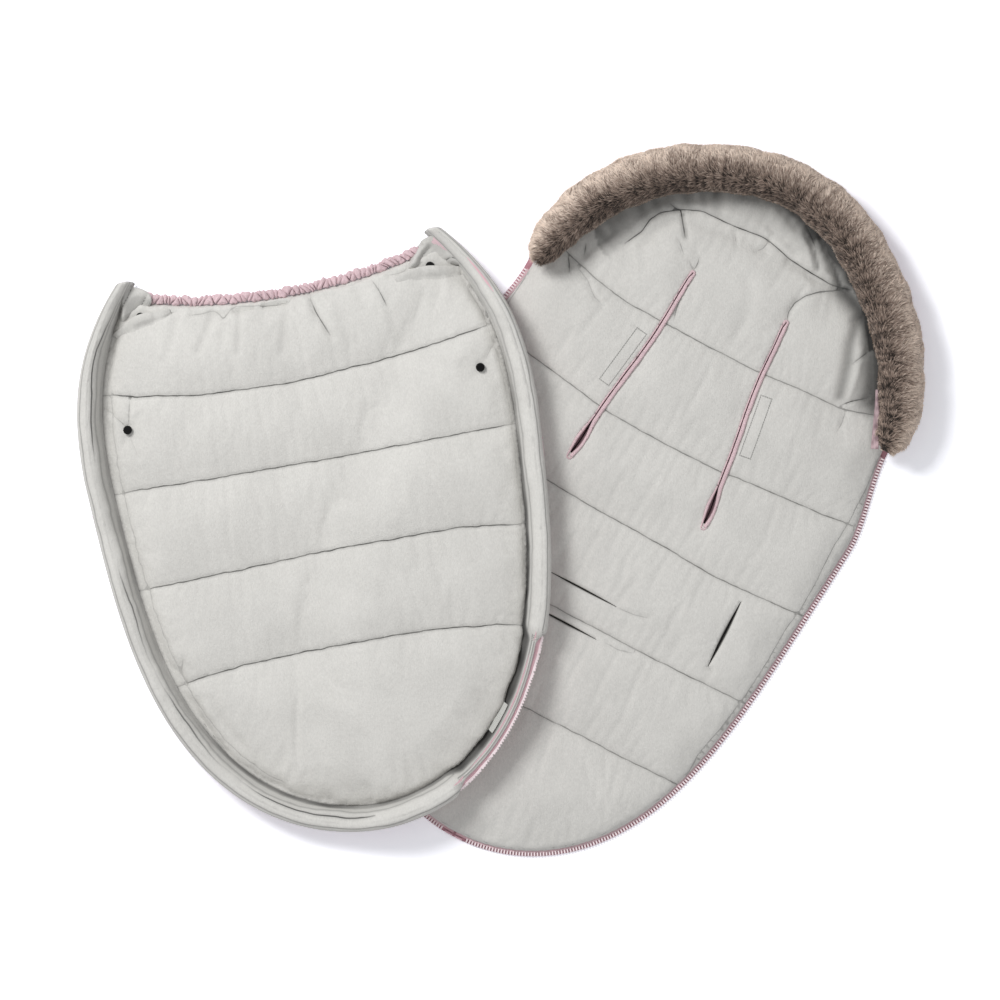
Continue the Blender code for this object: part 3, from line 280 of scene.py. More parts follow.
for name, offset, size, watts in LAMPS:
    lamp = bpy.data.lights.new(name, "AREA")
    lamp.size, lamp.energy = size, watts
    holder = bpy.data.objects.new(name, lamp)
    holder.location = Vector((*VIEW_CENTRE, 0)) + Vector(offset)
    holder.rotation_euler = Vector(offset).to_track_quat("Z", "Y").to_euler()
    bpy.context.scene.collection.objects.link(holder)
print(len(LAMPS), "lamps")

# %% [markdown]
# ## Finishes of the cloths
# The lining is a short fuzzy pile: nearly one grey, with faint clouds where the pile leans, a
# fine grain, and a soft sheen. Lines of stitching are darker, because the pile is drawn in. A
# painted shade lies softly round each line, and wherever a point carries one.

# %% Fleece


def fleece(name, colour, lines=None):
    """A fuzzy pile with darker stitched lines and shaded folds."""
    f = Finish(name)
    clouds = f.grain(0.060, 3.0, 0.55).between(0.35, 0.65)
    nap = f.grain(0.0017, 3.0, 0.70, f.turned(VIEW_TURN, (1, 2.3, 1))).between(0.28, 0.72)
    tufts = f.grain(0.0052, 3.0, 0.65).between(0.30, 0.70)
    dark = tuple(c * 0.89 for c in colour)
    light = tuple(min(c * 1.07, 1) for c in colour)
    tone = f.mixed(clouds * 0.30 + nap * 0.58 + tufts * 0.12, dark, light)
    gap, ink = f.carried("gap"), f.carried("ink")
    # A stitched seam is a darker line of thread; along a crease the same dark line is painted shade.
    thread = (1 - gap.between(0.20, 1.05)) * ink
    # Painted shade: a soft darkening round each stitched line and crease.
    painted_seam_shade = (1 - gap.between(0.0, 4.5)) * ink * 0.24
    if lines is not None:
        thread = thread.most(lines(f))
    # The painted shade round the lines and the one the points carry darken the pile towards a tenth of its
    # colour.
    tone = f.mixed((painted_seam_shade + f.carried("shade")).least(1.0), tone, tuple(c * 0.10 for c in colour))
    tone = f.mixed(thread.least(1.0), tone, (0.045, 0.045, 0.042))
    pile = f.grain(0.0012, 2.0, 0.7)
    normal = f.relief(pile * 0.60 + tufts * 0.16 + thread * -1.2, 0.0010)
    return f.surface(Base_Color=tone, Roughness=0.95, Normal=normal, Sheen_Weight=0.20,
                     Sheen_Roughness=0.5, Specular_IOR_Level=0.15)


FLEECE_GREY = (0.655, 0.642, 0.610)
PATCH_CORNER = Vector((0.0902, 0.1490))
PATCH_SIZE = (0.0138, 0.0765)
PATCH_SLANT = math.atan2(0.011, 0.075)


def patch_lines(f):
    """The stitched outlines of the two patches sewn to the outside."""
    side = f.axis("X").absolute()
    along = f.axis("Y")
    x, y = side - PATCH_CORNER.x, along - PATCH_CORNER.y
    c, s = math.cos(PATCH_SLANT), math.sin(PATCH_SLANT)
    across, up = (x * c + y * s).absolute(), (y * c - x * s).absolute()
    reach = (across - PATCH_SIZE[0] / 2).most(up - PATCH_SIZE[1] / 2).absolute()
    stitches = up.math("SINE", up * 2100 + across * 2100)
    return (1 - reach.between(0.0002, 0.0008)) * (stitches * 0.25 + 0.65) * 0.62


LINING = fleece("lining_fleece", FLEECE_GREY, patch_lines)
LINING_PLAIN = fleece("cover_fleece", FLEECE_GREY)
print("lining finish", LINING.name)

# %% [markdown]
# The outside is a light pink woven cloth with a print of small dark dots, in a plain scatter.
# It shows as the ruffle, the slots' edges and the rims. Its weave is two sets of fine waves.

# %% Pink cloth
PINK = (0.880, 0.655, 0.690)
PRINT = (0.16, 0.075, 0.10)


def pink_cloth(name, dots=0.006, gather=0.0):
    f = Finish(name)
    place = f.place()
    thread = 0.00042
    x, y, z = (f.axis(name) for name in "XYZ")
    warp, weft = x + z * 0.7, y - z * 0.7
    warp = warp.math("SINE", warp * (2 * math.pi / thread))
    weft = weft.math("SINE", weft * (2 * math.pi / thread))
    spots = 1 - f.cells(dots, place, scatter=0.85).between(0.085, 0.13)
    kept = f.grain(dots * 1.7, 1.0, 0.5).between(0.46, 0.50)
    fade = f.grain(0.03, 2.0, 0.5).between(0.3, 0.7)
    tone = f.mixed(fade, tuple(c * 0.94 for c in PINK), tuple(min(c * 1.04, 1) for c in PINK))
    tone = f.mixed(spots * kept * 0.9, tone, PRINT)
    # Painted shade in folds and tucks: the points' fold darkness, scaled by gather, darkens the cloth to a
    # deep rose.
    if gather:
        tone = f.mixed(f.carried("fold").between(0.1, 1.0) * gather, tone, (0.10, 0.03, 0.045))
    normal = f.relief(warp * weft, 0.00012)
    return f.surface(Base_Color=tone, Roughness=0.82, Normal=normal, Sheen_Weight=0.12,
                     Sheen_Roughness=0.4, Specular_IOR_Level=0.25)


CLOTH_OUTSIDE = pink_cloth("pink_cloth")
# A copy with a finer print, darkened by painted shade where its points carry folds.
CLOTH_FOLD_SHADED = pink_cloth("pink_cloth_fold_shaded", 0.0040, 0.9)
print("pink finishes ready")

# %% [markdown]
# Zip tape is a dense woven ribbon with a fine herringbone. The teeth are moulded in a paler
# pink with a soft gloss. The press studs are black and glossy, the label a plain ribbed ribbon.

# %% Small finishes


def ribbon(name, colour, rib, angle=0.0):
    f = Finish(name)
    at = f.turned(angle)
    x, y = f.axis("X", at), f.axis("Y", at)
    slant = x.math("PINGPONG", x, rib * 2) + y
    lean = slant.math("SINE", slant * (2 * math.pi / rib))
    tone = f.mixed(lean * 0.5 + 0.5, tuple(c * 0.86 for c in colour), colour)
    return f.surface(Base_Color=tone, Roughness=0.75, Normal=f.relief(lean, 0.00015),
                     Specular_IOR_Level=0.25)


def moulded(name, colour, roughness, scuff=0.08, speck=0.0010, shine=0.5):
    f = Finish(name)
    haze = f.grain(speck, 3.0, 0.6)
    wear = f.grain(0.006, 2.0, 0.5)
    tone = f.mixed(wear.between(0.35, 0.75), tuple(c * 0.93 for c in colour), colour)
    return f.surface(Base_Color=tone, Roughness=haze * scuff + roughness,
                     Specular_IOR_Level=shine, Normal=f.relief(haze, 0.00006))


TAPE = ribbon("zip_tape_weave", (0.84, 0.55, 0.60), 0.0011)
# The edge tape's deeper pink is painted shade between the zip's teeth.
SHADED_EDGE_PINK = ribbon("edge_tape_shaded_weave", (0.60, 0.30, 0.35), 0.0011)
TEETH = moulded("zip_teeth_pink", (0.96, 0.82, 0.84), 0.42)
STUD_BLACK = moulded("stud_black", (0.003, 0.003, 0.003), 0.45, 0.10, shine=0.12)
METAL = moulded("painted_zip_metal", (0.70, 0.42, 0.48), 0.30)
LABEL = ribbon("label_ribbed", (0.58, 0.58, 0.55), 0.0030, math.radians(35))
HOOK = ribbon("hook_tape_weave", (0.72, 0.69, 0.64), 0.0014)
WHITE_ELASTIC = ribbon("white_elastic", (0.80, 0.79, 0.77), 0.0012)
PACKING = moulded("white_filling", (0.85, 0.85, 0.84), 0.9)

BY_SLOT = {"outer_cloth": CLOTH_OUTSIDE, "fleece": LINING, "wadding": PACKING, "elastic": WHITE_ELASTIC,
           "zip_tape": TAPE, "zip_teeth": TEETH, "hook_tape": HOOK, "black_plastic": STUD_BLACK,
           "zip_metal": METAL, "label_weave": LABEL, "fur": PACKING}
for part in frame["record"]["subparts"]:
    mesh = frame["nodes"][part["node"]].data
    mesh.materials.clear()
    mesh.materials.append(BY_SLOT[part["material_slot"]])

# %% [markdown]
# ## Helpers for shapes
# A smooth step, even resampling of a line, and a search for the distance to lines. Most pieces
# are grids laid along a path, so one helper takes a grid and puts each of its points in place.

# %% Helpers
MM = 0.001
CLOTH_THICK, COVER_CLOTH_THICK, STRIP_THICK, PILE_THICK = 0.0010, 0.0012, 0.0004, 0.0014


def smooth(t):
    t = np.clip(t, 0, 1)
    return t * t * (3 - 2 * t)


def closed_line(loop):
    """A loop as a line that ends where it starts."""
    return np.vstack([loop, loop[:1]])


def directions(line):
    """Which way a line runs at each of its points."""
    way = np.gradient(line, axis=0)
    return way / np.linalg.norm(way, axis=1)[:, None]


def leftward(way):
    """The directions at right angles to way, on its left."""
    return np.column_stack([-way[:, 1], way[:, 0]])


def search_tree(places):
    """Finds the nearest of many flat places."""
    tree = KDTree(len(places))
    for n, place in enumerate(places):
        tree.insert((place[0], place[1], 0), n)
    tree.balance()
    return tree


def groove(gap, depth, width):
    """How deep a groove is at a distance from its middle."""
    return depth * np.exp(-((gap / width) ** 2))


def swell(*place):
    """Smooth noise from -1 to 1 at one place."""
    return noise.noise(Vector(place))


def resample(points, step, closed=False):
    """Points at even distances of about one step along a line."""
    line = np.asarray(list(points) + ([points[0]] if closed else []), float)
    lengths = np.concatenate([[0], np.cumsum(np.linalg.norm(np.diff(line, axis=0), axis=1))])
    count = max(int(round(lengths[-1] / step)), 1)
    goals = np.linspace(0, lengths[-1], count + 1)[: count if closed else None]
    return np.column_stack([np.interp(goals, lengths, line[:, k]) for k in range(line.shape[1])])


def tree_of(lines, step=0.0008):
    """A search tree over the points of lines, with the number of the line of each point."""
    owners = [(p, k) for k, line in enumerate(lines) for p in resample(line, step)]
    points = [p for p, _ in owners]
    return search_tree(points), [k for _, k in owners], points


def distances(places, lines, step=0.0008):
    """For each place: distance to the nearest line, its number, and the nearest point on it."""
    tree, owner, points = tree_of(lines, step)
    found = [tree.find((x, y, 0)) for x, y in places[:, :2]]
    gaps = np.array([f[2] for f in found])
    return gaps, np.array([owner[f[1]] for f in found]), np.array([points[f[1]] for f in found])


def ripple(places, size, seed=0.0):
    """Smooth noise from -1 to 1 whose waves are about size metres long."""
    seeded = Vector((seed * 7.3, seed * 3.1, seed))
    return np.array([noise.noise(Vector((x, y, 0)) / size + seeded) for x, y in places[:, :2]])


def curve(points, wobble=0.0, seed=1.0, step=0.002, rounds=8):
    """A smooth line through measured points, with the small wobble of sewn cloth."""
    line = resample(points, step)
    for _ in range(rounds):
        line[1:-1] = (line[:-2] + 2 * line[1:-1] + line[2:]) / 4
    if wobble:
        along = np.column_stack([np.arange(len(line)) * step, np.zeros(len(line))])
        sway = ripple(along, 0.022, seed) + 0.75 * ripple(along, 0.0085, seed + 1)
        line += leftward(directions(line)) * (wobble * sway)[:, None]
    return line


def within(places, loop):
    """Which places lie inside a closed loop."""
    x, y = places[:, 0], places[:, 1]
    found = np.zeros(len(places), bool)
    for (ax, ay), (bx, by) in zip(loop, np.roll(loop, -1, axis=0)):
        if ay != by:
            found ^= ((ay > y) != (by > y)) & (x < (bx - ax) * (y - ay) / (by - ay) + ax)
    return found


def finish_piece(bm, name, material, body, *nodes):
    """Turns a bmesh into a piece that rides on a body and stands for CAD nodes."""
    mesh = bpy.data.meshes.new(name)
    bm.to_mesh(mesh)
    bm.free()
    mesh.polygons.foreach_set("use_smooth", [True] * len(mesh.polygons))
    piece = bpy.data.objects.new(name, mesh)
    bpy.context.scene.collection.objects.link(piece)
    mesh.materials.append(material)
    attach(piece, body)
    if nodes:
        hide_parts(*nodes)
    return piece


def laid_grid(along, across, put, closed_along=False, closed_across=False, carried=()):
    """A grid whose points put(u, v) places, u and v from 0 to 1, with the numbers they carry."""
    bm = bmesh.new()
    bmesh.ops.create_grid(bm, x_segments=along, y_segments=across, size=1)
    layers = [bm.verts.layers.float.new(title) for title in carried]
    for vert in bm.verts:
        found = put((vert.co.x + 1) / 2, (vert.co.y + 1) / 2)
        for layer, value in zip(layers, found[3:]):
            vert[layer] = value
        vert.co = found[:3]
    if closed_along or closed_across:
        edge = [v for v in bm.verts if v.is_boundary]
        bmesh.ops.remove_doubles(bm, verts=edge, dist=0.00002)
    bmesh.ops.recalc_face_normals(bm, faces=bm.faces)
    return bm


def close_ends(bm):
    """Closes the two open ends of a tube."""
    bmesh.ops.holes_fill(bm, edges=[e for e in bm.edges if e.is_boundary], sides=0)
    bmesh.ops.recalc_face_normals(bm, faces=bm.faces)


def thicken(piece, thickness, offset=0, name="cloth_thickness"):
    """Gives a sheet the thickness of its cloth."""
    wall = piece.modifiers.new(name, "SOLIDIFY")
    wall.thickness, wall.offset = thickness, offset


print("helpers ready")

# %% [markdown]
# ## Outlines
# The back half is widest below the slots, tapers to a round foot and ends in a half circle at
# the hood. The front cover is rounder at the foot and narrows into two corners at its top.
# Both are written with the same sizes as the solids, drawn in by an inset.

# %% Outlines
BACK_HALF_WIDTH, BACK_WIDEST_Y, BACK_REACH = 0.263, 0.076, 0.533
BACK_TAPER, BACK_ROUND = 0.16, 4.5
HOOD_Y, HOOD_RADIUS = 0.200, 0.246
COVER_AT, COVER_TURN = np.array((-0.2994, -0.2104)), math.radians(38)
COVER_HALF_WIDTH, COVER_WIDEST_Y, COVER_REACH = 0.2735, 0.120, 0.470
COVER_TAPER, COVER_ROUND = 0.10, 3.4
EAR_Y, EAR_REACH, EAR_SHARE, EAR_POWER = 0.343, 0.240, 0.34, 2.6
PANEL_INSET, PANEL_TOP, PANEL_BOW = 0.027, 0.296, 0.030


def back_loop(inset):
    """The back half's outline, drawn in by an inset."""
    width, reach, radius = BACK_HALF_WIDTH - inset, BACK_REACH - inset, HOOD_RADIUS - inset
    turn = np.linspace(0, math.pi / 2, 160)
    t = np.sin(turn) ** (2 / BACK_ROUND)
    foot = np.column_stack([width * (1 - BACK_TAPER * t) * np.cos(turn), BACK_WIDEST_Y - reach * t])
    y = np.linspace(HOOD_Y, BACK_WIDEST_Y, 40)[1:-1]
    share = smooth((y - BACK_WIDEST_Y) / (HOOD_Y - BACK_WIDEST_Y))
    side = np.column_stack([width + (radius - width) * share, y])
    hood = np.column_stack([radius * np.sin(turn), HOOD_Y + radius * np.cos(turn)])
    right = np.vstack([hood, side, foot])
    return np.vstack([right, right[-2:0:-1] * (-1, 1)])


def cover_half(y, inset):
    """Half the cover's width at y."""
    width = COVER_HALF_WIDTH - inset
    u = np.maximum(y - COVER_WIDEST_Y, 0) / EAR_REACH
    t = np.clip((COVER_WIDEST_Y - y) / (COVER_REACH - inset), 0, 1)
    low = width * (1 - COVER_TAPER * t) * np.sqrt(np.maximum(1 - t**COVER_ROUND, 0))
    return np.where(y <= COVER_WIDEST_Y, low, width * (1 - EAR_SHARE * u**EAR_POWER))


def cover_side(inset):
    """The cover's right side, from the middle of its foot up to the ear."""
    turn = np.linspace(math.pi / 2, 0, 160)
    t = np.sin(turn) ** (2 / COVER_ROUND)
    foot = np.column_stack([(COVER_HALF_WIDTH - inset) * (1 - COVER_TAPER * t) * np.cos(turn),
                            COVER_WIDEST_Y - (COVER_REACH - inset) * t])
    y = np.linspace(COVER_WIDEST_Y, EAR_Y, 120)[1:]
    return np.vstack([foot, np.column_stack([cover_half(y, inset), y])])


def panel_top(x):
    """Where the panel's top edge lies at x."""
    y = np.full_like(x, PANEL_TOP)
    for _ in range(4):
        y = PANEL_TOP + PANEL_BOW * (x / cover_half(y, PANEL_INSET)) ** 2
    return y


def on_table(places):
    """Places in the cover's own frame as places on the table."""
    c, s = math.cos(COVER_TURN), math.sin(COVER_TURN)
    x, y = places[:, 0], places[:, 1]
    return np.column_stack([COVER_AT[0] + x * c - y * s, COVER_AT[1] + x * s + y * c])


def on_cover(places):
    """Places on the table as places in the cover's own frame."""
    c, s = math.cos(COVER_TURN), math.sin(COVER_TURN)
    x, y = places[:, 0] - COVER_AT[0], places[:, 1] - COVER_AT[1]
    return np.column_stack([x * c + y * s, y * c - x * s])


BACK_EDGE = back_loop(0)
DRAPE_HEIGHT, DRAPE_START, DRAPE_RUN = 0.0204, 0.080, 0.085


def drape(places):
    """How high the back half lifts the cover at places in the cover's own frame."""
    there = on_table(places)
    gaps = distances(there, [closed_line(BACK_EDGE)], 0.002)[0]
    inside = np.where(within(there, BACK_EDGE), gaps, -gaps)
    return DRAPE_HEIGHT * smooth((inside + DRAPE_START) / DRAPE_RUN)


print("back half", [round(float(v), 3) for v in np.ptp(BACK_EDGE, axis=0)], "m")

# %% [markdown]
# ## Quilted pads
# A quilted pad is two cloths with filling between, sewn through along its seams. Its upper cloth
# is made as an even net of small triangles, with the seams as edges of the net, then blown up by
# a cloth simulation while edge and seams are held: the slack cloth puckers along them by itself.
# The net comes from a Delaunay triangulation, because no grid follows these curved seams.

# %% Net of a pad
NET_STEP = 0.0034
EDGE_CLEAR = 0.62
NET_SCALE = 1000


def net(loop, holes, lines, step):
    """Points and triangles of an even net inside a loop, outside the holes, with lines as edges."""
    rings = [resample(r, step, True) for r in [loop] + holes]
    runs = [resample(line, step) for line in lines]
    fixed, edges = [], []
    for ring in rings:
        first = len(fixed)
        fixed += [tuple(p) for p in ring]
        edges += [(first + n, first + (n + 1) % len(ring)) for n in range(len(ring))]
    for run in runs:
        first = len(fixed)
        fixed += [tuple(p) for p in run]
        edges += [(first + n, first + n + 1) for n in range(len(run) - 1)]
    low, high = rings[0].min(0), rings[0].max(0)
    rows = np.arange(low[1], high[1], step * math.sqrt(0.75))
    columns = [np.arange(low[0] + (k % 2) * step / 2, high[0], step) for k in range(len(rows))]
    spots = np.vstack([np.column_stack([x, np.full(len(x), y)]) for x, y in zip(columns, rows)])
    spots = spots[within(spots, rings[0])]
    tree = search_tree(fixed)
    spots = [tuple(p) for p in spots if tree.find((*p, 0))[2] > step * EDGE_CLEAR]
    flat = [Vector(p) * NET_SCALE for p in fixed + spots]
    made = delaunay_2d_cdt(flat, edges, [], 0, 0.0001)
    points = np.array([tuple(p) for p in made[0]]) / NET_SCALE
    faces = np.array(made[2])
    middles = points[faces].mean(axis=1)
    keep = within(middles, rings[0])
    for ring in rings[1:]:
        keep &= ~within(middles, ring)
    faces = faces[keep]
    used = np.unique(faces)
    place = np.full(len(points), -1)
    place[used] = np.arange(len(used))
    return points[used], place[faces]


print("net step", NET_STEP / MM, "mm")

# %% [markdown]
# The slack cloth is pressed up from inside for twenty frames, and no point may move further than
# a few millimetres. Then the pad gets its underside: the net's rims go down and are filled there.
# Each point also carries how near the closest stitched line or crease is, how dark it is there, and a painted
# shade; a crease's darkness is painted shade too.

# %% Sewing and blowing up a pad
SLIT_REACH, SLIT_CLOSED = 0.0075, 0.86
PRESSURE, SLACK, LARGEST_MOVE, FRAMES = 5.0, 0.006, 0.0050, 20
CLOTH_FORCES = {"quality": 5, "mass": 0.12, "tension_stiffness": 12, "compression_stiffness": 12,
                "shear_stiffness": 4, "bending_stiffness": 0.6, "vertex_group_mass": "held",
                "use_pressure": True, "uniform_pressure_force": PRESSURE}
NO_LINE = 9.0


def pad_mesh(name, points, faces):
    mesh = bpy.data.meshes.new(name)
    mesh.from_pydata([tuple(p) for p in points], [], [tuple(int(n) for n in f) for f in faces])
    return mesh


def puffed(points, faces, held):
    """Points of a cloth blown up from inside while the held points stay."""
    piece = bpy.data.objects.new("cloth", pad_mesh("cloth", points, faces))
    bpy.context.scene.collection.objects.link(piece)
    group = piece.vertex_groups.new(name="held")
    group.add([int(n) for n in np.nonzero(held)[0]], 1.0, "REPLACE")
    cloth = piece.modifiers.new("cloth", "CLOTH")
    for title, value in CLOTH_FORCES.items():
        setattr(cloth.settings, title, value)
    cloth.settings.shrink_min = cloth.settings.shrink_max = -SLACK
    cloth.settings.effector_weights.gravity = 0
    cloth.collision_settings.use_collision = False
    scene = bpy.context.scene
    for number in range(1, FRAMES + 1):
        scene.frame_set(number)
    shown = piece.evaluated_get(bpy.context.evaluated_depsgraph_get())
    after = np.empty(len(points) * 3)
    shown.data.vertices.foreach_get("co", after)
    after = after.reshape(-1, 3)
    bpy.data.objects.remove(piece)
    scene.frame_set(1)
    move = after - points
    reach = np.linalg.norm(move, axis=1)
    print("cloth moved up to", round(float(reach.max()) / MM, 1), "mm")
    move *= np.minimum(1, LARGEST_MOVE / np.maximum(reach, 1e-9))[:, None]
    return points + move


def closed_pad(name, points, faces, floor_at, carried, material, body, nodes, slits=()):
    """The pad closed below: its rims go down to floor_at and are filled there."""
    bm = bmesh.new()
    bm.from_mesh(pad_mesh(name, points, faces))
    layers = {title: bm.verts.layers.float.new(title) for title in ("gap", "ink", "shade")}
    for title, values in carried.items():
        for vert, value in zip(bm.verts, values):
            vert[layers[title]] = float(value)
    rims = [e for e in bm.edges if e.is_boundary]
    lowered = bmesh.ops.extrude_edge_only(bm, edges=rims)["geom"]
    for vert in lowered:
        if isinstance(vert, bmesh.types.BMVert):
            vert.co.z = floor_at(vert.co.x, vert.co.y)
            vert[layers["gap"]], vert[layers["ink"]] = NO_LINE, 0.0
            # Near a slit the foot of the rim is drawn together and gets full painted shade, as the dark
            # inside of the slit.
            for axis in slits:
                near = axis[np.argmin(np.hypot(*(axis - vert.co[:2]).T))]
                if math.dist(near, vert.co[:2]) < SLIT_REACH:
                    vert.co.x += (near[0] - vert.co.x) * SLIT_CLOSED
                    vert.co.y += (near[1] - vert.co.y) * SLIT_CLOSED
                    vert[layers["shade"]] = 1.0
    bottom = [e for e in lowered if isinstance(e, bmesh.types.BMEdge) and e.is_boundary]
    bmesh.ops.triangle_fill(bm, edges=bottom, use_beauty=False, use_dissolve=False)
    bmesh.ops.recalc_face_normals(bm, faces=bm.faces)
    piece = finish_piece(bm, name, material, body, *nodes)
    print(name, len(piece.data.polygons), "faces")
    return piece


# %% [markdown]
# ## The back half's lining
# Its seams bow a little upwards at their middle, the hood's seam curves round under the fur, and
# deep creases run in from the rim where the hood is drawn up. A line is a row of places, its
# darkness, and how deep it lies; the darkness of creases and folds is painted shade. Slots for the
# harness are bound holes on both sides, with slits between the legs and at the waist.

# %% Seams and slots of the back half
PAD_INSET = 0.0072
BACK_SEAMS = [curve(np.array(line) * MM, 0.0008, 20 + n) for n, line in enumerate((
    [(-232, 236), (-206, 228), (-161, 216), (-117, 209), (-20, 208), (60, 209), (124, 215), (172, 217),
     (204, 227), (226, 236)],
    [(-254, 106), (-195, 100), (-140, 92), (-102, 86), (-74, 82), (0, 80), (78, 82), (99, 85), (207, 94),
     (254, 100)],
    [(-254, -28), (-106, -24), (-28, -28), (53, -29), (131, -33), (218, -27), (254, -24)],
    [(-244, -152), (-120, -154), (0, -155), (120, -154), (244, -150)],
    [(-232, -276), (-100, -277), (0, -278), (100, -277), (232, -274)]))]
HOOD_SEAM = curve(measured((625, 243), (642, 231), (650, 219), (661, 212), (681, 209), (703, 211), (737, 227),
                           (760, 235), (769, 240), (788, 257), (809, 271), (829, 283), (845, 288),
                           (853, 290)), 0.0004, 27, rounds=3)
BACK_SEAMS.append(HOOD_SEAM)
SEAM_INKS = [0.62, 0.66, 0.70, 0.60, 0.62, 0.95]
# Creases of the back half; their darkness, listed below them, is painted shade.
BACK_CREASES = [curve(measured(*line), 0.0002, 40 + n, 0.001, 3) for n, line in enumerate((
    ((787, 322), (789, 312), (795, 303), (806, 296), (820, 292), (846, 289)),
    ((671, 204), (676, 208), (681, 210), (683, 222), (685.5, 237)),
    ((679, 240), (684, 254)),
    ((568, 253), (569, 261), (569.5, 272)),
    ((586, 243), (584.5, 255)),
    ((577, 266), (588, 280), (594, 296), (602, 304)),
    ((700, 257), (697, 266), (693, 271)),
    ((690, 262), (693, 270)),
    ((842, 405), (852, 401), (868, 398)),
    ((846, 412), (842, 424), (838, 430)),
    ((852, 364), (868, 352)),
    ((606, 643), (618, 650), (634, 654)),
    ((618, 608), (634, 615), (648, 618)),
    ((707, 664), (712, 672)),
    ((735, 232), (737, 245)),
    ((634, 325), (642, 332)), ((784.5, 326), (779, 336), (772, 350), (765, 362), (760, 374)),
    ((689, 276), (683, 292), (677, 308), (674, 320)), ((806, 226), (812, 236), (816, 248)),
    ((756, 252), (764, 248), (770, 240))))]
CREASE_SHADES = [0.80, 1.0, 0.45, 0.9, 0.9, 0.30, 0.7, 0.6, 0.75, 0.4, 0.6, 0.30, 0.30, 0.4, 0.3, 0.3, 1.0,
               0.5, 0.8, 0.5]
# Folds: where they run, their width and depth in mm, and how much painted shade lies in them.
VALLEYS = (
    (((846, 292), (860, 310), (872, 334)), 16.0, 5.5, 0.92),
    (((858, 322), (851, 344), (848, 366), (841, 396)), 7.5, 4.6, 0.50),
    (((872, 322), (877, 352), (880, 404)), 13.0, 8.0, 0.95),
    (((822, 238), (832, 260), (840, 284)), 6.0, 7.0, 0.92),
    (((812, 238), (815, 252), (818, 268)), 3.6, 3.8, 0.70),
    (((783, 209), (797, 226), (811, 240)), 6.0, 4.2, 0.56),
    (((796, 212), (812, 226), (824, 242)), 3.4, 4.6, 0.70),
    (((770, 228), (786, 240), (796, 252)), 5.5, 3.4, 0.16),
    (((642, 244), (660, 226), (676, 220)), 6.0, 2.6, 0.08),
    (((790, 262), (816, 279), (846, 294)), 6.5, 3.0, 0.12),
    (((690, 222), (730, 236), (765, 251)), 7.0, 2.0, 0.04),
    (((612, 232), (600, 243), (586, 256)), 5.0, 2.4, 0.08),
    (((740, 330), (752, 300), (748, 280)), 9.0, 1.6, 0.0),
    (((846, 236), (858, 262), (866, 292)), 5.0, 3.0, 0.40),
    (((571, 262), (600, 240), (636, 222)), 8.0, 1.5, 0.16),
    (((683, 214), (685, 226), (686, 238)), 2.6, 2.6, 0.40))
RIDGES = ((((801, 234), (808, 250), (812, 268)), 3.2, 3.2), (((781, 206), (793, 219), (803, 232)), 2.4, 3.0),
          (((862, 350), (857, 376), (848, 398)), 3.2, 2.6), (((690, 205), (730, 214), (766, 230)), 6.0, 2.6),
          (((640, 222), (658, 208), (675, 204)), 5.0, 2.4), (((816, 262), (828, 276), (846, 285)), 4.0, 2.6))
SLOT_TOP, SLOT_FOOT = np.array((0.064, 0.277)), np.array((0.091, 0.014))
SLOT_BOW = 0.0042
HOLE_HALF, DROP_HALF, DROP_START = 0.0030, 0.0027, 0.80
SLITS = (((-0.047, -0.120), (0.045, -0.120), 0.0032), ((-0.047, -0.166), (0.042, -0.166), 0.0032),
         ((0.173, -0.043), (0.1745, -0.133), 0.0058), ((-0.173, -0.043), (-0.1745, -0.133), 0.0058))


def slot_line(side, share):
    """Points along the middle of a slot; it bows towards the middle of the back."""
    share = np.asarray(share, float)[:, None]
    bow = SLOT_BOW * np.exp(-(((share - 0.34) / 0.24) ** 2))
    return (SLOT_TOP + (SLOT_FOOT - SLOT_TOP) * share - np.array((1.0, 0.1)) * bow) * (side, 1)


def drop_shape(run):
    """How far a slot opens along its run: a drop at its lower end."""
    t = np.clip((np.asarray(run, float) - DROP_START) / (1 - DROP_START), 0, 1)
    return np.sin(np.pi * t ** 1.25) ** 1.2


def hole_round(line, half, turn=9):
    """A long hole with round ends round a line."""
    way = directions(line)
    side = leftward(way)
    angle = np.linspace(0, math.pi, turn)[1:-1, None]
    wide = half + (DROP_HALF * drop_shape(np.linspace(0, 1, len(line))))[:, None]
    tail = line[0] - half * (side[0] * -np.cos(angle) + way[0] * np.sin(angle))
    head = line[-1] + half * (side[-1] * np.cos(angle) + way[-1] * np.sin(angle))
    return np.vstack([line + side * wide, head, (line - side * wide)[::-1], tail])


def lens(start, end, width, steps=24):
    """A slit, widest at its middle and pointed at its ends."""
    start, end = np.asarray(start, float), np.asarray(end, float)
    way = end - start
    side = np.array((-way[1], way[0])) / np.linalg.norm(way)
    t = np.linspace(0, 1, steps)[:, None]
    bulge = width / 2 * np.sin(np.pi * t) ** 1.3 + 0.0003
    one = start + way * t + side * bulge
    return np.vstack([one, (start + way * t - side * bulge)[::-1]])


slot_axes = [slot_line(side, np.linspace(0, 1, 130)) for side in (-1, 1)]
slot_holes = [hole_round(axis[::6], HOLE_HALF) for axis in slot_axes]
slit_holes = [lens(*slit) for slit in SLITS]
slit_axes = [resample([a, b], 0.0008) for a, b, _ in SLITS]
print(len(slot_holes), "bound slots,", len(slit_holes), "slits")

# %% [markdown]
# Between its seams the quilt rises like a pillow, and it rolls down to its edge. Towards the fur
# it climbs a little. Folds press in on both sides of their line.

# %% Heights of the back half
PAD_EDGE, PAD_LOW, PAD_CROWN, CHANNEL_HALF, EDGE_ROLL = 0.0052, 0.0132, 0.0062, 0.050, 0.070
HOOD_CLIMB = 0.0035
LINE_STEP, RIM_STEP, COARSE_STEP = 0.0005, 0.001, 0.0015


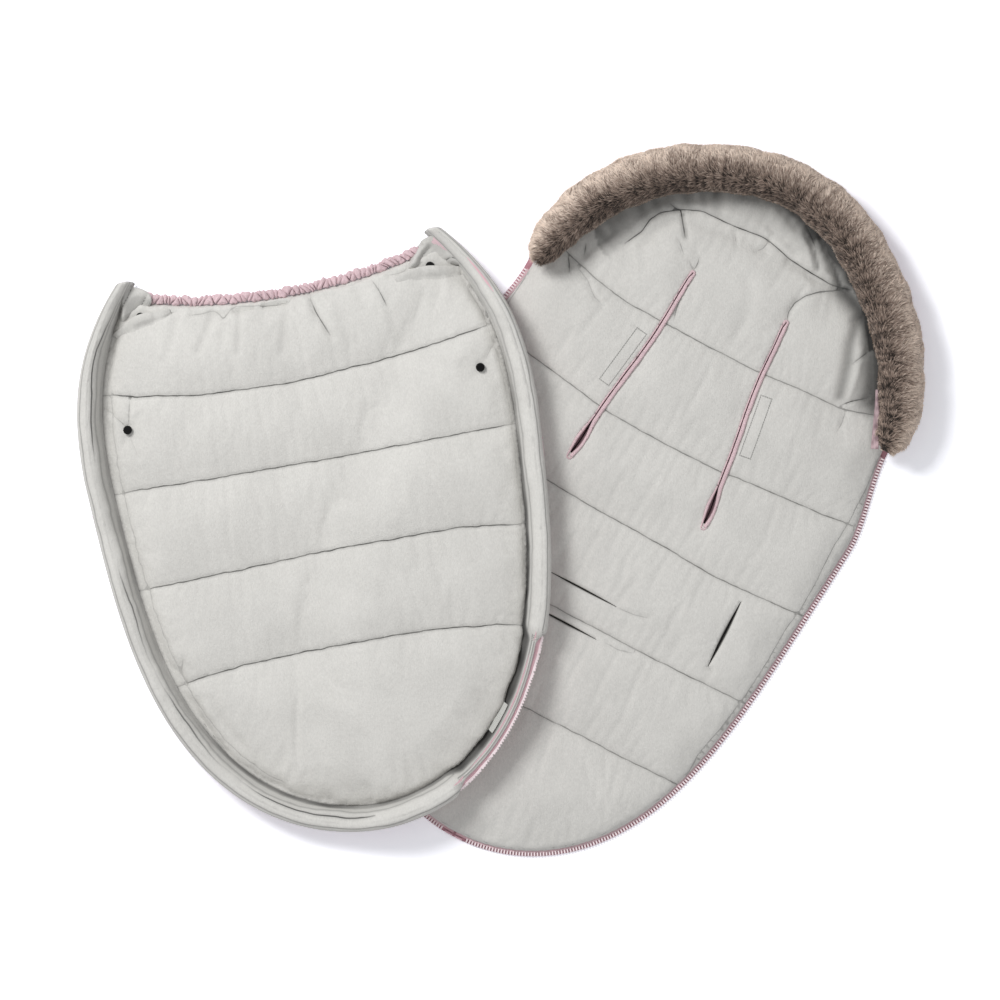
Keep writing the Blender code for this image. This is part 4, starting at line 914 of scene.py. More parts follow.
def pillow(gaps, radius, power=2.3):
    """Fullness between seams: 0 on a seam, 1 past the radius."""
    return 1 - (1 - np.clip(gaps / radius, 0, 1)) ** power


def rolled(inside, width):
    """Fullness from the outer edge: steep at first, full past the width."""
    return np.sqrt(1 - (1 - np.clip(inside / width, 0, 1)) ** 4)


BACK_RIM = back_loop(PAD_INSET)
closed_rim = [closed_line(BACK_RIM)]
inner_side = np.array([(238, 192), (242, 150), (243, 100), (240, 61), (242, 20), (241, -20), (236, -50),
                       (236, -80), (234, -111), (230, -149), (222, -195), (214, -230), (214, -262)]) * MM
EDGE_LINES = [curve(inner_side * (side, 1), 0.0004, 60 + side) for side in (1, -1)]
EDGE_LINES.append(closed_line(back_loop(PAD_INSET + 0.0020)))
EDGE_INKS = [0.42, 0.42, 0.42]


def valley(places, folds):
    """How deep folds press in at places, and how much painted shade they get there."""
    depth, shade = np.zeros(len(places)), np.zeros(len(places))
    for points, width, deep, *dark in folds:
        gap = distances(places, [curve(measured(*points), rounds=3)], RIM_STEP)[0] * 1000
        share = np.exp(-((gap / width) ** 2))
        depth += deep * MM * share
        shade = np.maximum(shade, (dark[0] if dark else 0.0) * np.exp(-((gap / (width * 0.8)) ** 2)))
    return depth, shade


def back_height(places, crown=1.0):
    """Height of the back half's lining at places on the table."""
    inside = distances(places, closed_rim, COARSE_STEP)[0]
    gaps = distances(places, BACK_SEAMS)[0]
    full = PAD_LOW + PAD_CROWN * crown * pillow(gaps, CHANNEL_HALF)
    reach = np.hypot(places[:, 0], places[:, 1] - HOOD_Y)
    climb = HOOD_CLIMB * smooth((reach - 0.150) / 0.05) * smooth((places[:, 1] - 0.30) / 0.05)
    fall = smooth((reach - 0.212) / 0.020) * smooth((places[:, 1] - 0.19) / 0.02)
    return PAD_EDGE + (full - PAD_EDGE) * rolled(inside, EDGE_ROLL) + climb * (1 - fall)


def darkened_lines(places, families):
    """Distance in mm to the nearest stitched line or crease, and how dark it is there: stitching on seams,
    painted shade in creases.
    """
    gap, ink = np.full(len(places), NO_LINE), np.zeros(len(places))
    for lines, darkness in families:
        gaps, owner, nearest = distances(places, lines, LINE_STEP)
        nearer = gaps * 1000 < gap
        gap = np.where(nearer, gaps * 1000, gap)
        ends = np.array([[line[0], line[-1]] for line in lines])[owner]
        to_end = np.linalg.norm(nearest[:, None, :] - ends, axis=2).min(axis=1)
        ink = np.where(nearer, np.array(darkness)[owner] * (0.2 + 0.8 * smooth(to_end / 0.008)), ink)
    return gap, ink * (0.80 + 0.35 * ripple(places, 0.016, 12.0))


print("the quilt is", PAD_LOW / MM, "mm high on a seam")

# %% [markdown]
# The net is blown up, and then the lines are pressed in and the gathers near the fur are added.

# %% The back half's quilt
ON_LINE = 0.0004
SEAM_GROOVE, CREASE_GROOVE = (0.0015, 0.0021), (0.0018, 0.0026)
EDGE_GROOVE, PANEL_GROOVE = (0.0007, 0.0020), (0.0012, 0.0022)
LOWEST_LINING, LINING_FLOOR = 0.0046, 0.0039
BACK_LINES = ((BACK_SEAMS, SEAM_INKS), (BACK_CREASES, CREASE_SHADES), (EDGE_LINES, EDGE_INKS))
grooves = BACK_SEAMS + BACK_CREASES + EDGE_LINES[:2]
flat, back_faces = net(BACK_RIM, slot_holes + slit_holes, grooves, NET_STEP)
gap_seam, which_seam, near_seam = distances(flat, BACK_SEAMS, LINE_STEP)
gap_rim = distances(flat, closed_rim, RIM_STEP)[0]
gap_hole = distances(flat, [closed_line(h) for h in slot_holes + slit_holes], LINE_STEP)[0]
gap_crease = distances(flat, BACK_CREASES, LINE_STEP)[0]
gap_edge = distances(flat, EDGE_LINES[:2], LINE_STEP)[0]
held = (gap_seam < ON_LINE) | (gap_rim < ON_LINE) | (gap_hole < ON_LINE)
start = np.column_stack([flat, back_height(flat, 0.74)])
back_points = puffed(start, back_faces, held)


def pucker(places, gap, nearest, number, reach=0.010, depth=0.0006):
    """Short wrinkles that run away from a seam on both sides."""
    side = np.sign(places[:, 1] - nearest[:, 1]) * 3.7
    along = np.column_stack([places[:, 0] * 1.0, number * 0.5 + side])
    along[:, 1] *= 0.012
    small = ripple(along, 0.0085, 1.0) + 0.6 * ripple(along, 0.0042, 2.0)
    return depth * small * np.exp(-gap / reach) * (1 - np.exp(-gap / 0.0022))


deep, back_shade = valley(flat, VALLEYS)
high, _ = valley(flat, RIDGES)
back_points[:, 2] += high - deep
back_points[:, 2] += pucker(flat, gap_seam, near_seam, which_seam)
back_points[:, 2] -= groove(gap_seam, *SEAM_GROOVE)
back_points[:, 2] -= groove(gap_crease, *CREASE_GROOVE) * smooth(gap_hole / 0.003)
back_points[:, 2] -= groove(gap_edge, *EDGE_GROOVE)
back_points[:, 2] += 0.0007 * ripple(flat, 0.034, 3.0) * smooth(gap_rim / 0.02)
reach = np.hypot(flat[:, 0], flat[:, 1] - HOOD_Y)
turn = np.arctan2(flat[:, 1] - HOOD_Y, flat[:, 0])
gather = ripple(np.column_stack([turn * 0.2, reach * 0.12]), 0.0125, 4.0)
fine = ripple(np.column_stack([turn * 0.2, reach * 0.10]), 0.0048, 14.0)
near_fur = smooth((reach - 0.150) / 0.045) * smooth((flat[:, 1] - 0.215) / 0.03)
back_points[:, 2] += (0.0022 * gather + 0.0010 * fine * smooth((reach - 0.172) / 0.02)) * near_fur
back_points[:, 2] = np.maximum(back_points[:, 2], LOWEST_LINING)
gap, ink = darkened_lines(flat, BACK_LINES)
right_side = smooth((1.35 - np.abs(turn - 0.35)) / 0.5)
above_seam = smooth((reach - np.hypot(near_seam[:, 0], near_seam[:, 1] - HOOD_Y)) / 0.004) * (which_seam == 5)
shadow = (0.26 + 0.46 * right_side) * smooth((reach - 0.166) / 0.030) + 0.40 * above_seam * (1 + 0.8 * gather)
back_shade = np.maximum(back_shade, shadow * near_fur)
back_quilt = closed_pad("back_quilt", back_points, back_faces, lambda x, y: LINING_FLOOR,
                        dict(gap=gap, ink=ink, shade=back_shade), LINING, "back_half",
                        ("back_lining", "back_wadding", "hood_lining"), slit_axes + slot_axes)

# %% [markdown]
# ## The outer cloth under the back half
# One flat sheet of the pink cloth lies on the table, cut to the same outline and slots. It
# reaches out under the zip's teeth as a tape whose deeper pink is painted shade, so it shows dark between
# them.

# %% The back's outer cloth
SHELL_STEP, SHELL_LEVEL, SHELL_HOLE_HALF = 0.012, 0.0009, 0.0040
SHELL_INSET, TAPE_START, TAPE_SEAM = 0.0004, 0.0085, 0.0075
shell_holes = [hole_round(axis[::10], SHELL_HOLE_HALF) for axis in slot_axes]
shell_loop = back_loop(SHELL_INSET)
flat_shell, shell_faces = net(shell_loop, shell_holes + slit_holes, [back_loop(TAPE_SEAM)[:-1]], SHELL_STEP)
shell = bmesh.new()
shell_points = np.column_stack([flat_shell, SHELL_LEVEL + 0.0002 * ripple(flat_shell, 0.05)])
shell.from_mesh(pad_mesh("outer", shell_points, shell_faces))
bmesh.ops.recalc_face_normals(shell, faces=shell.faces)
back_cloth = finish_piece(shell, "back_outer_cloth", CLOTH_OUTSIDE, "back_half", "back_outer_shell")
back_cloth.data.materials.append(SHADED_EDGE_PINK)
for face in back_cloth.data.polygons:
    face.material_index = int(not within(np.array([face.center[:2]]), back_loop(TAPE_START))[0])
thicken(back_cloth, CLOTH_THICK)


def area_of(places, faces):
    """The area of a flat net of triangles."""
    a, b, c = (places[faces[:, k]] for k in range(3))
    return float(np.abs((b - a)[:, 0] * (c - a)[:, 1] - (b - a)[:, 1] * (c - a)[:, 0]).sum() / 2)


shell_area = area_of(flat_shell, shell_faces)
print("back cloth", round(shell_area, 3), "square metres")

# %% [markdown]
# ## The zip's teeth
# Round the back half's edge each tooth is a small rounded block of its own on the tape's bead,
# at the pitch of a number 5 moulded zip.

# %% The back's teeth
TOOTH_PITCH, TOOTH_LEVEL = 0.0037, 0.0032
TOOTH_SIZE, BEAD_SIZE = (0.0020, 0.0046, 0.0029), (0.0037, 0.0009, 0.0014)
TOOTH_BACK, BEAD_BACK, TOOTH_EDGE = 0.0030, 0.0061, 0.0004
TEETH_TOP, TEETH_FOOT = 0.189, 0.016


def zip_teeth(word, side):
    rim = BACK_EDGE[(BACK_EDGE[:, 0] > TEETH_FOOT) & (BACK_EDGE[:, 1] < TEETH_TOP)]
    line = resample(rim, TOOTH_PITCH) * (side, 1)
    way = directions(line)
    out = leftward(way) * side
    bm = bmesh.new()
    for place, along, outward in zip(line, way, out):
        for (length, reach, thick), back in ((TOOTH_SIZE, TOOTH_BACK), (BEAD_SIZE, BEAD_BACK)):
            at = place - outward * back
            frame_of = Matrix(((along[0] * length, outward[0] * reach, 0, at[0]),
                               (along[1] * length, outward[1] * reach, 0, at[1]),
                               (0, 0, thick, TOOTH_LEVEL), (0, 0, 0, 1)))
            bmesh.ops.create_cube(bm, size=1, matrix=frame_of)
    bmesh.ops.bevel(bm, geom=list(bm.edges), offset=TOOTH_EDGE, segments=1, affect="EDGES",
                    clamp_overlap=True)
    bmesh.ops.recalc_face_normals(bm, faces=bm.faces)
    piece = finish_piece(bm, "back_teeth_" + word, TEETH, "back_half", "back_zip_teeth_" + word)
    for face in piece.data.polygons:
        face.use_smooth = False
    return len(line)


print(zip_teeth("left", -1) + zip_teeth("right", 1), "teeth")

# %% [markdown]
# ## Bound edges of the harness slots
# Each long slot is bound with a folded strip of the pink cloth. Its two lips nearly meet, and
# open into a drop at the lower end, where the strap usually pulls. The strip is a grid laid round
# the slot, with the small tucks that a bias strip gets.

# %% Slot bindings
LIP_PROFILE = ((0.0042, -0.0014), (0.0043, 0.0003), (0.0038, 0.0014), (0.0028, 0.0020), (0.0016, 0.0018),
               (0.0008, 0.0008), (0.0005, -0.0010), (0.0004, -0.0040), (0.0003, -0.0080))
LIP_OVERLAP, LIP_FOOT, LIP_LOWEST = 0.0015, 0.0052, 0.0030
LIP_STATIONS = 230


def slot_binding(side, name, node):
    share = np.linspace(0, 1, LIP_STATIONS)
    line = slot_line(side, share)
    way = directions(line)
    normal = leftward(way)
    angle = np.linspace(0, math.pi, 24)[1:-1, None]
    middle = np.vstack([line, np.repeat(line[-1:], len(angle), 0), line[::-1],
                        np.repeat(line[:1], len(angle), 0)])
    outward = np.vstack([normal, normal[-1] * np.cos(angle) + way[-1] * np.sin(angle), -normal[::-1],
                         -normal[0] * np.cos(angle) - way[0] * np.sin(angle)])
    run = np.concatenate([share, np.ones(len(angle)), share[::-1], np.zeros(len(angle))])
    count = len(middle)
    drop = drop_shape(run)
    along = np.column_stack([np.arange(count) * 0.0011, np.full(count, side * 0.01)])
    tuck, sway = ripple(along, 0.0042, 5.0), ripple(along, 0.021, 6.0)
    dots = ripple(along, 0.0030, 8.0)
    thin = 0.80 + 0.14 * sway + 0.14 * run
    overlap = LIP_OVERLAP * np.where(np.arange(count) < len(line), 1, -1) * (1 - drop) * smooth(run / 0.03)
    heights = back_height(middle + outward * LIP_FOOT, 0.8)
    profile = np.array(LIP_PROFILE)
    stops = np.linspace(0, 1, len(profile))

    def put(u, v):
        k = int(round(u * count)) % count
        w, z = np.interp(v, stops, profile[:, 0]), np.interp(v, stops, profile[:, 1])
        bulge = math.sin(math.pi * v)
        opened = (1 - smooth((v - 0.78) / 0.2)) * DROP_HALF * drop[k]
        uneven = (tuck[k] * 0.0003 + sway[k] * 0.0002) * bulge
        w = w * thin[k] + opened - overlap[k] * smooth((v - 0.3) / 0.3) + uneven
        at = middle[k] + outward[k] * w
        z = heights[k] + z + overlap[k] * 0.6 * bulge + (tuck[k] * 0.0005 + sway[k] * 0.0005) * bulge
        # Painted shade down the lips' inner sides into the slot; the dots along their tops are print.
        dark = max(0.85 * smooth((v - 0.72) / 0.10), 1.0 * (dots[k] > 0.52) * (0.18 < v < 0.34))
        return (at[0], at[1], max(z, LIP_LOWEST), float(dark))

    bm = laid_grid(count, 26, put, closed_along=True, carried=("fold",))
    piece = finish_piece(bm, name, CLOTH_FOLD_SHADED, "back_half", node)
    thicken(piece, STRIP_THICK, -1)
    return piece


for word, side in (("left", -1), ("right", 1)):
    slot_binding(side, "slot_binding_" + word, "shoulder_slot_binding_" + word)
print("slots bound")

# %% [markdown]
# ## Finish of the fur collar
# The fur is a plush of fine hairs. They part near the inner edge, where the dark ground shows,
# and lie outwards to a pale rim. Each hair is a thin bent ribbon: dark at its root and paler
# towards its tip, so the clumps show by themselves.

# %% Fur finish
FUR_DARK, FUR_BROWN, FUR_PALE = (0.016, 0.010, 0.007), (0.300, 0.222, 0.178), (0.840, 0.700, 0.590)


def fur_finish(name):
    f = Finish(name)
    tip, rim, own = f.carried("tip"), f.carried("rim"), f.carried("own")
    ground = f.mixed((tip * 0.80 + rim * 0.70 + own * 0.90 - 0.42).between(0.0, 0.80), FUR_DARK, FUR_BROWN)
    pale = (tip * 0.80 + rim * 1.05 + own * 0.75 - 1.05).between(0.0, 1.15)
    tone = f.mixed(pale, ground, FUR_PALE)
    return f.surface(Base_Color=tone, Roughness=0.62, Specular_IOR_Level=0.25, Sheen_Weight=0.15)


FUR = fur_finish("fur_hair")
print("fur finish", FUR.name)

# %% [markdown]
# The collar's inner and outer radius were measured round the hood. Its body is a tube of about
# four fifths of that thickness, and the hairs grow out of it to the measured outline. They are
# three pieces, so that none has too many faces.

# %% The fur collar
FUR_LEVEL, FUR_HEIGHT, FUR_MIDDLE = 0.0430, 0.0235, 0.228
FUR_FIRST, FUR_LAST = math.radians(-1.2), math.radians(179.6)
FUR_OUT = np.array([(-2, 252), (4, 262), (9, 266), (13, 265), (18, 262), (26, 259), (34, 257), (42, 254),
                    (50, 252), (61, 253), (71, 256), (79, 257), (95, 256), (108, 254), (120, 254),
                    (130, 257), (137, 259), (149, 261), (161, 263), (171, 261), (175, 257),
                    (180, 249)], float)
FUR_IN = np.array([(-2, 227), (6, 213), (15, 203), (20, 200), (29, 194), (39, 188), (51, 185), (58, 185),
                   (66, 188), (78, 190), (92, 194), (101, 192), (120, 190), (136, 193), (147, 196),
                   (160, 201), (168, 206), (175, 214), (180, 220)], float)
HAIRS, HAIR_PIECES = 117000, 3
HAIR_LENGTH, HAIR_WIDTH = (0.0062, 0.0118), (0.00030, 0.00056)
SKIN = 0.80


def fur_ring(angle, around, share=1.0):
    """A point on the collar's body: angle round the hood, around 0 inside to pi outside over the top."""
    outer = np.interp(np.degrees(angle), FUR_OUT[:, 0], FUR_OUT[:, 1]) * MM
    inner = np.interp(np.degrees(angle), FUR_IN[:, 0], FUR_IN[:, 1]) * MM
    tail = np.sqrt(np.clip(np.minimum(angle - FUR_FIRST, FUR_LAST - angle) / 0.055, 0.02, 1))
    wobble = 1 + 0.03 * np.sin(angle * 23 + 1.3) + 0.025 * np.sin(angle * 41)
    half = (outer - inner) / 2 * share * wobble * tail
    radius = (outer + inner) / 2 - np.cos(around) * half
    lift = np.sin(around)
    lift = np.where(lift < 0, -np.abs(lift) ** 0.45, lift)
    fullness = np.clip(half / np.maximum(share * 0.030, 1e-9), 0.5, 1)
    high = FUR_LEVEL + lift * FUR_HEIGHT * share * tail * fullness
    return np.stack([radius * np.cos(angle), HOOD_Y + radius * np.sin(angle), high], axis=-1)


def fur_body():
    def put(u, v):
        angle = FUR_FIRST + (FUR_LAST - FUR_FIRST) * u
        around = v * 2 * math.pi
        at = fur_ring(np.array(angle), np.array(around), SKIN * 0.97)
        return (*at, 0.15, 0.75 * float(smooth((around - 1.5) / 1.2)) if around < 4.2 else 0.5, 0.3)

    bm = laid_grid(220, 28, put, closed_across=True, carried=("tip", "rim", "own"))
    close_ends(bm)
    return finish_piece(bm, "fur_ground", FUR, "back_half", "fur_collar")


def fur_hairs(count, seed):
    """Roots, bends, tips and colours of many hairs."""
    rng = np.random.default_rng(seed)
    angle = rng.uniform(FUR_FIRST + 0.002, FUR_LAST - 0.002, count)
    around = np.arccos(rng.uniform(-1, 1, count)) * 1.10 - 0.10
    low = rng.random(count) < 0.14
    around[low] = rng.uniform(-0.85, 0.25, low.sum())
    rimward = rng.random(count) < 0.06
    around[rimward] = rng.uniform(2.6, 3.9, rimward.sum())
    below = rng.random(count) < 0.11
    around[below] = rng.uniform(3.0, 4.7, below.sum())
    parting = 0.86 + 0.12 * np.sin(angle * 7 + 0.6) + 0.09 * np.sin(angle * 19)
    root, centre = fur_ring(angle, around, SKIN), fur_ring(angle, around, 0.0)
    normal = root - centre
    normal /= np.linalg.norm(normal, axis=1)[:, None]
    radial = np.stack([np.cos(angle), np.sin(angle), np.zeros(count)], axis=1)
    along = np.stack([-np.sin(angle), np.cos(angle), np.zeros(count)], axis=1)
    arc = angle * FUR_MIDDLE
    clump = np.array([swell(a / 0.0052, r * 1.6, 0.3) for a, r in zip(arc, around)])
    streak = np.array([swell(a / 0.0016, r * 1.1, 3.3) for a, r in zip(arc, around)])
    swirl = np.array([swell(a / 0.016, r * 2.2, 5.1) for a, r in zip(arc, around)])
    near = np.exp(-(((around - parting) / 0.42) ** 2))
    turned = math.pi / 2 * (1 - np.tanh((around - parting) * 1.7))
    turned = turned + 0.55 * swirl + 0.60 * clump + 0.45 * streak
    turned += rng.normal(0, 0.22, count)
    lip = smooth((0.35 - around) / 0.4)
    flow = radial * np.cos(turned)[:, None] + along * np.sin(turned)[:, None]
    hanging = smooth((around - 2.75) / 0.5)[:, None]
    flow = flow * (1 - hanging) + np.array((0, 0, -1.0)) * hanging
    flow -= normal * (flow * normal).sum(1)[:, None]
    flow /= np.maximum(np.linalg.norm(flow, axis=1), 1e-6)[:, None]
    length = rng.uniform(*HAIR_LENGTH, count) * (0.60 + 0.40 * np.clip(around / 1.3, 0, 1))
    stand = 0.58 - 0.28 * np.clip(around / 2.2, 0, 1) + rng.normal(0, 0.09, count) + 0.25 * near * clump
    first = root + (normal * (stand + 0.22)[:, None] + flow * 0.55) * (length * 0.40)[:, None]
    second = first + (normal * (stand * 0.42)[:, None] + flow * 0.95) * (length * 0.35)[:, None]
    tip = second + (normal * (stand * 0.05)[:, None] + flow * 1.0) * (length * 0.32)[:, None]
    tip[:, 2] -= 0.0010
    face = np.cross(flow, normal) + rng.normal(0, 0.25, (count, 3))
    face /= np.linalg.norm(face, axis=1)[:, None]
    width = rng.uniform(*HAIR_WIDTH, count)[:, None]
    points = np.stack([root - face * width, root + face * width, first - face * width, first + face * width,
                       second - face * width * 0.7, second + face * width * 0.7, tip], axis=1)
    own = np.clip(0.55 + 0.42 * clump + 0.8 * streak + rng.normal(0, 0.34, count), 0, 1.2)
    own = own - 0.20 * near
    rim = smooth((around - 0.95) / 1.75)
    rim = np.maximum(rim - 0.25 * near, 0.62 * lip)
    tips = np.tile(np.array([0, 0, 0.42, 0.42, 0.8, 0.8, 1.0]), (count, 1))
    return points, tips, np.repeat(rim[:, None], 7, 1), np.repeat(own[:, None], 7, 1)


def hair_piece(name, count, seed):
    points, tips, rims, owns = fur_hairs(count, seed)
    first = (np.arange(count) * 7)[:, None]
    faces = [tuple(f) for f in (first + np.array([0, 1, 3, 2])).tolist()]
    faces += [tuple(f) for f in (first + np.array([2, 3, 5, 4])).tolist()]
    faces += [tuple(f) for f in (first + np.array([4, 5, 6])).tolist()]
    mesh = bpy.data.meshes.new(name)
    mesh.from_pydata(points.reshape(-1, 3).tolist(), [], faces)
    for title, values in (("tip", tips), ("rim", rims), ("own", owns)):
        layer = mesh.attributes.new(title, "FLOAT", "POINT")
        layer.data.foreach_set("value", values.reshape(-1).astype(np.float32))
    mesh.polygons.foreach_set("use_smooth", [True] * len(mesh.polygons))
    piece = bpy.data.objects.new(name, mesh)
    bpy.context.scene.collection.objects.link(piece)
    mesh.materials.append(FUR)
    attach(piece, "back_half")
    return piece


ground = fur_body()
for number in range(HAIR_PIECES):
    hair_piece("fur_hairs_%d" % (number + 1), HAIRS // HAIR_PIECES, 11 + number)
print(HAIRS, "hairs")

# %% [markdown]
# ## The hood's outer wall
# Under the fur the outer cloth stands up as a low gathered wall, drawn in by the elastic. At the
# right end of the fur a folded pink strip of it shows along the inner side, darkened by painted shade.

# %% Hood wall
HOOD_WALL_RADIUS, HOOD_WALL_FOOT, HOOD_WALL_HEIGHT = 0.2395, 0.0008, 0.0285


def hood_wall():
    def put(u, v):
        angle = math.pi * u
        waves = swell(angle * 30, 0, 2) + 0.5 * swell(angle * 71, 0, 4)
        bulge = 0.0040 * math.sin(math.pi * v)
        radius = HOOD_WALL_RADIUS + 0.0040 * v + bulge + 0.0016 * waves * v
        return (radius * math.cos(angle), HOOD_Y + radius * math.sin(angle),
                HOOD_WALL_FOOT + HOOD_WALL_HEIGHT * v)

    bm = laid_grid(420, 10, put)
    piece = finish_piece(bm, "hood_wall", CLOTH_OUTSIDE, "back_half", "hood_outer_shell")
    thicken(piece, COVER_CLOTH_THICK)
    return piece


def fur_strip():
    """The folded strip along the inner side of the fur's right end."""
    line = curve(measured((876, 390), (875, 408), (873, 427), (871, 449)), rounds=3, step=0.001)
    width = np.interp(np.linspace(0, 1, len(line)), (0, 0.35, 0.8, 1), (0.0010, 0.0045, 0.0075, 0.0078))
    way = directions(line)
    side = leftward(way)
    count = len(line) - 1

    def put(u, v):
        k = int(round(u * count))
        at = line[k] + side[k] * (width[k] * v - 0.001)
        lift = 0.030 + 0.012 * smooth(v) + 0.0012 * swell(u * 9, v * 2, 1)
        # The strip's darker rose is painted shade under the fur.
        return (at[0], at[1], float(lift), float(0.55 + 0.4 * swell(u * 9, v * 3, 7)))

    bm = laid_grid(count, 8, put, carried=("fold",))
    piece = finish_piece(bm, "fur_end_strip", CLOTH_FOLD_SHADED, "back_half")
    thicken(piece, CLOTH_THICK)


hood_wall()
fur_strip()
print("hood wall", HOOD_WALL_HEIGHT / MM, "mm high")

# %% [markdown]
# ## The front cover's quilted panel
# The cover lies lining side up. It drapes over the back half's edge, its four seams bow the
# other way, and four press studs pull dimples into it. The gathered top edge throws soft folds
# down into the first channel.

# %% Seams of the panel


def cover_line(*places):
    """Places on the photograph in the cover's own frame."""
    return on_cover(np.array(measured(*places)))


COVER_SEAMS = [curve(np.array(line) * MM, 0.0012, 70 + n) for n, line in enumerate((
    [(-250, 221), (-235, 217), (-194, 208), (-120, 197), (-12, 193), (87, 200), (147, 206), (227, 218),
     (250, 226)],
    [(-262, 98), (-120, 96), (0, 95), (120, 96), (262, 98)],
    [(-262, -22), (-220, -21), (-137, -19), (0, -13), (155, -13), (230, -22), (262, -26)],
    [(-240, -150), (-187, -139), (-129, -132), (-16, -127), (108, -128), (184, -136), (240, -149)]))]
COVER_SEAM_INKS = [1.0, 0.86, 0.92, 0.98]
# Creases of the cover; their darkness, listed below them, is painted shade.
COVER_CREASES = [curve(cover_line(*line), 0.0002, 80 + n, 0.001, 3) for n, line in enumerate((
    ((189, 315), (202, 314), (213, 310.5), (219, 314), (223, 319), (229, 311), (236, 306), (252, 306.5),
     (270, 305), (287, 304), (292, 297)),
    ((310, 293), (310.5, 300), (316, 312), (330, 335)),
    ((149, 320.5), (162, 316), (176, 311)),
    ((370, 278), (379, 290), (387, 306)),
    ((387.6, 275), (396, 274), (405, 271), (409, 264.6)),
    ((484.6, 318), (486.5, 308)), ((498.6, 337), (491, 347.5), (486, 359)),
    ((127, 428), (116, 418), (105, 408)), ((128.5, 427), (129, 400)), ((129.5, 437), (134, 447), (139, 458)),
    ((126, 437), (121, 450)), ((183, 660), (181, 672), (186, 684)), ((338, 286), (352, 285), (368, 277)),
    ((292, 297), (303, 294), (312, 292))))]
COVER_CREASE_SHADES = [0.80, 0.75, 0.75, 0.72, 0.6, 0.4, 0.4, 0.35, 0.35, 0.15, 0.15, 0.5, 0.35, 0.4]
# Folds of the cover: where they run, their width and depth in mm, and their painted shade.
COVER_VALLEYS = ((((213, 314), (206, 332), (198, 352)), 4.5, 2.0, 0.05),
                 (((238, 309), (239, 330), (238, 352)), 3.6, 2.2, 0.06),
                 (((286, 308), (284, 330), (282, 352)), 5.0, 2.0, 0.05),
                 (((310, 296), (318, 318), (332, 338)), 4.0, 2.2, 0.05),
                 (((334, 296), (342, 320), (350, 344)), 6.0, 1.6, 0.02),
                 (((388, 296), (392, 320), (399, 342)), 6.0, 1.6, 0.02),
                 (((176, 318), (172, 340), (164, 360)), 6.0, 1.5, 0.02),
                 (((448, 268), (470, 290), (488, 318)), 5.5, 2.6, 0.08),
                 (((196, 705), (206, 728), (226, 752)), 4.5, 2.6, 0.08),
                 (((210, 700), (222, 722), (248, 752)), 5.0, 1.6, 0.03),
                 (((254, 770), (290, 789), (330, 797)), 7.0, 2.0, 0.04))
STUDS = {}
for kind, from_edge, y in (("top", 0.029, 0.302), ("side", 0.030, 0.171)):
    across = float(cover_half(np.array(y), PANEL_INSET)) - from_edge
    for word, side in (("left", -1), ("right", 1)):
        STUDS[kind + "_" + word] = np.array((side * across, y))

side_line = cover_side(PANEL_INSET)
side_line = side_line[side_line[:, 1] <= panel_top(side_line[:, 0])]
top_x = np.linspace(side_line[-1, 0], -side_line[-1, 0], 80)
top_line = np.column_stack([top_x, panel_top(top_x)])
PANEL_LOOP = np.vstack([side_line, top_line[1:-1], (side_line * (-1, 1))[:0:-1]])
panel_rim = [closed_line(PANEL_LOOP)]
left_seam = cover_side(PANEL_INSET + 0.0125) * (-1, 1)
left_seam = left_seam[(left_seam[:, 1] > -0.28) & (left_seam[:, 1] < 0.225)]
right_seam = cover_side(PANEL_INSET + 0.0070)
right_seam = right_seam[(right_seam[:, 1] > -0.10) & (right_seam[:, 1] < 0.275)]
PANEL_LINES = [curve(left_seam, 0.0016, 91, rounds=2), curve(right_seam, 0.0010, 93, rounds=2)]
PANEL_INKS = [0.50, 0.34]
print("panel", [round(float(v), 3) for v in np.ptp(PANEL_LOOP, axis=0)], "m")

# %% [markdown]
# Stations follow the rim from the left ear round the foot to the right ear. Each knows its place
# on the rim and on the panel's edge, and its distance from the middle of the foot.

# %% Rim stations


def rim_stations(step):
    """From the left ear round the foot to the right ear: rim, panel edge and distance."""
    both = np.column_stack([cover_side(0), cover_side(PANEL_INSET)])
    lengths = np.concatenate([[0], np.cumsum(np.linalg.norm(np.diff(both[:, :2], axis=0), axis=1))])
    count = int(round(lengths[-1] / step))
    goals = np.linspace(0, lengths[-1], count + 1)
    right = np.column_stack([np.interp(goals, lengths, both[:, k]) for k in range(4)] + [goals])
    left = right[:0:-1] * (-1, 1, -1, 1, -1)
    return np.vstack([left, right])


def laid_open(distance):
    return smooth((distance - 0.100) / 0.026) * smooth((0.332 - distance) / 0.022)


WALL_STEP = 0.0026
STATIONS = rim_stations(WALL_STEP)
STATION_RISE = drape(STATIONS[:, 2:4])
WALL_TOP_Y = 0.29
# How strong the crevice is along the rim: how far the panel bulges over it and how dark its painted shade is.
CREVICE = ((-0.78, -0.62, -0.48, -0.36, -0.28, -0.20, -0.08, 0.0, 0.06, 0.12, 0.34, 0.46, 0.56, 0.66, 0.78),
           (0.15, 0.35, 0.50, 0.30, 0.40, 0.80, 0.85, 0.60, 0.50, 0.95, 1.0, 0.95, 0.70, 0.40, 0.20))


def rim_place(places):
    """How far along the rim the nearest station of the panel's edge lies."""
    tree = search_tree(STATIONS[:, 2:4])
    return np.array([STATIONS[tree.find((x, y, 0))[1], 4] for x, y in places[:, :2]])


# %% [markdown]
# The panel's quilt is made like the back half's. Where the wall rises from it, a crevice
# follows the rim, deeper at some places than at others, and painted shade darkens it.

# %% The panel's quilt
PANEL_EDGE, PANEL_LOW, PANEL_CROWN, PANEL_CHANNEL_HALF, PANEL_ROLL = 0.0054, 0.0126, 0.0060, 0.048, 0.050
STUD_FLAT, STUD_DIMPLE, STUD_SINK = 0.0056, 0.016, 0.0012
PANEL_FLOOR = 0.0030


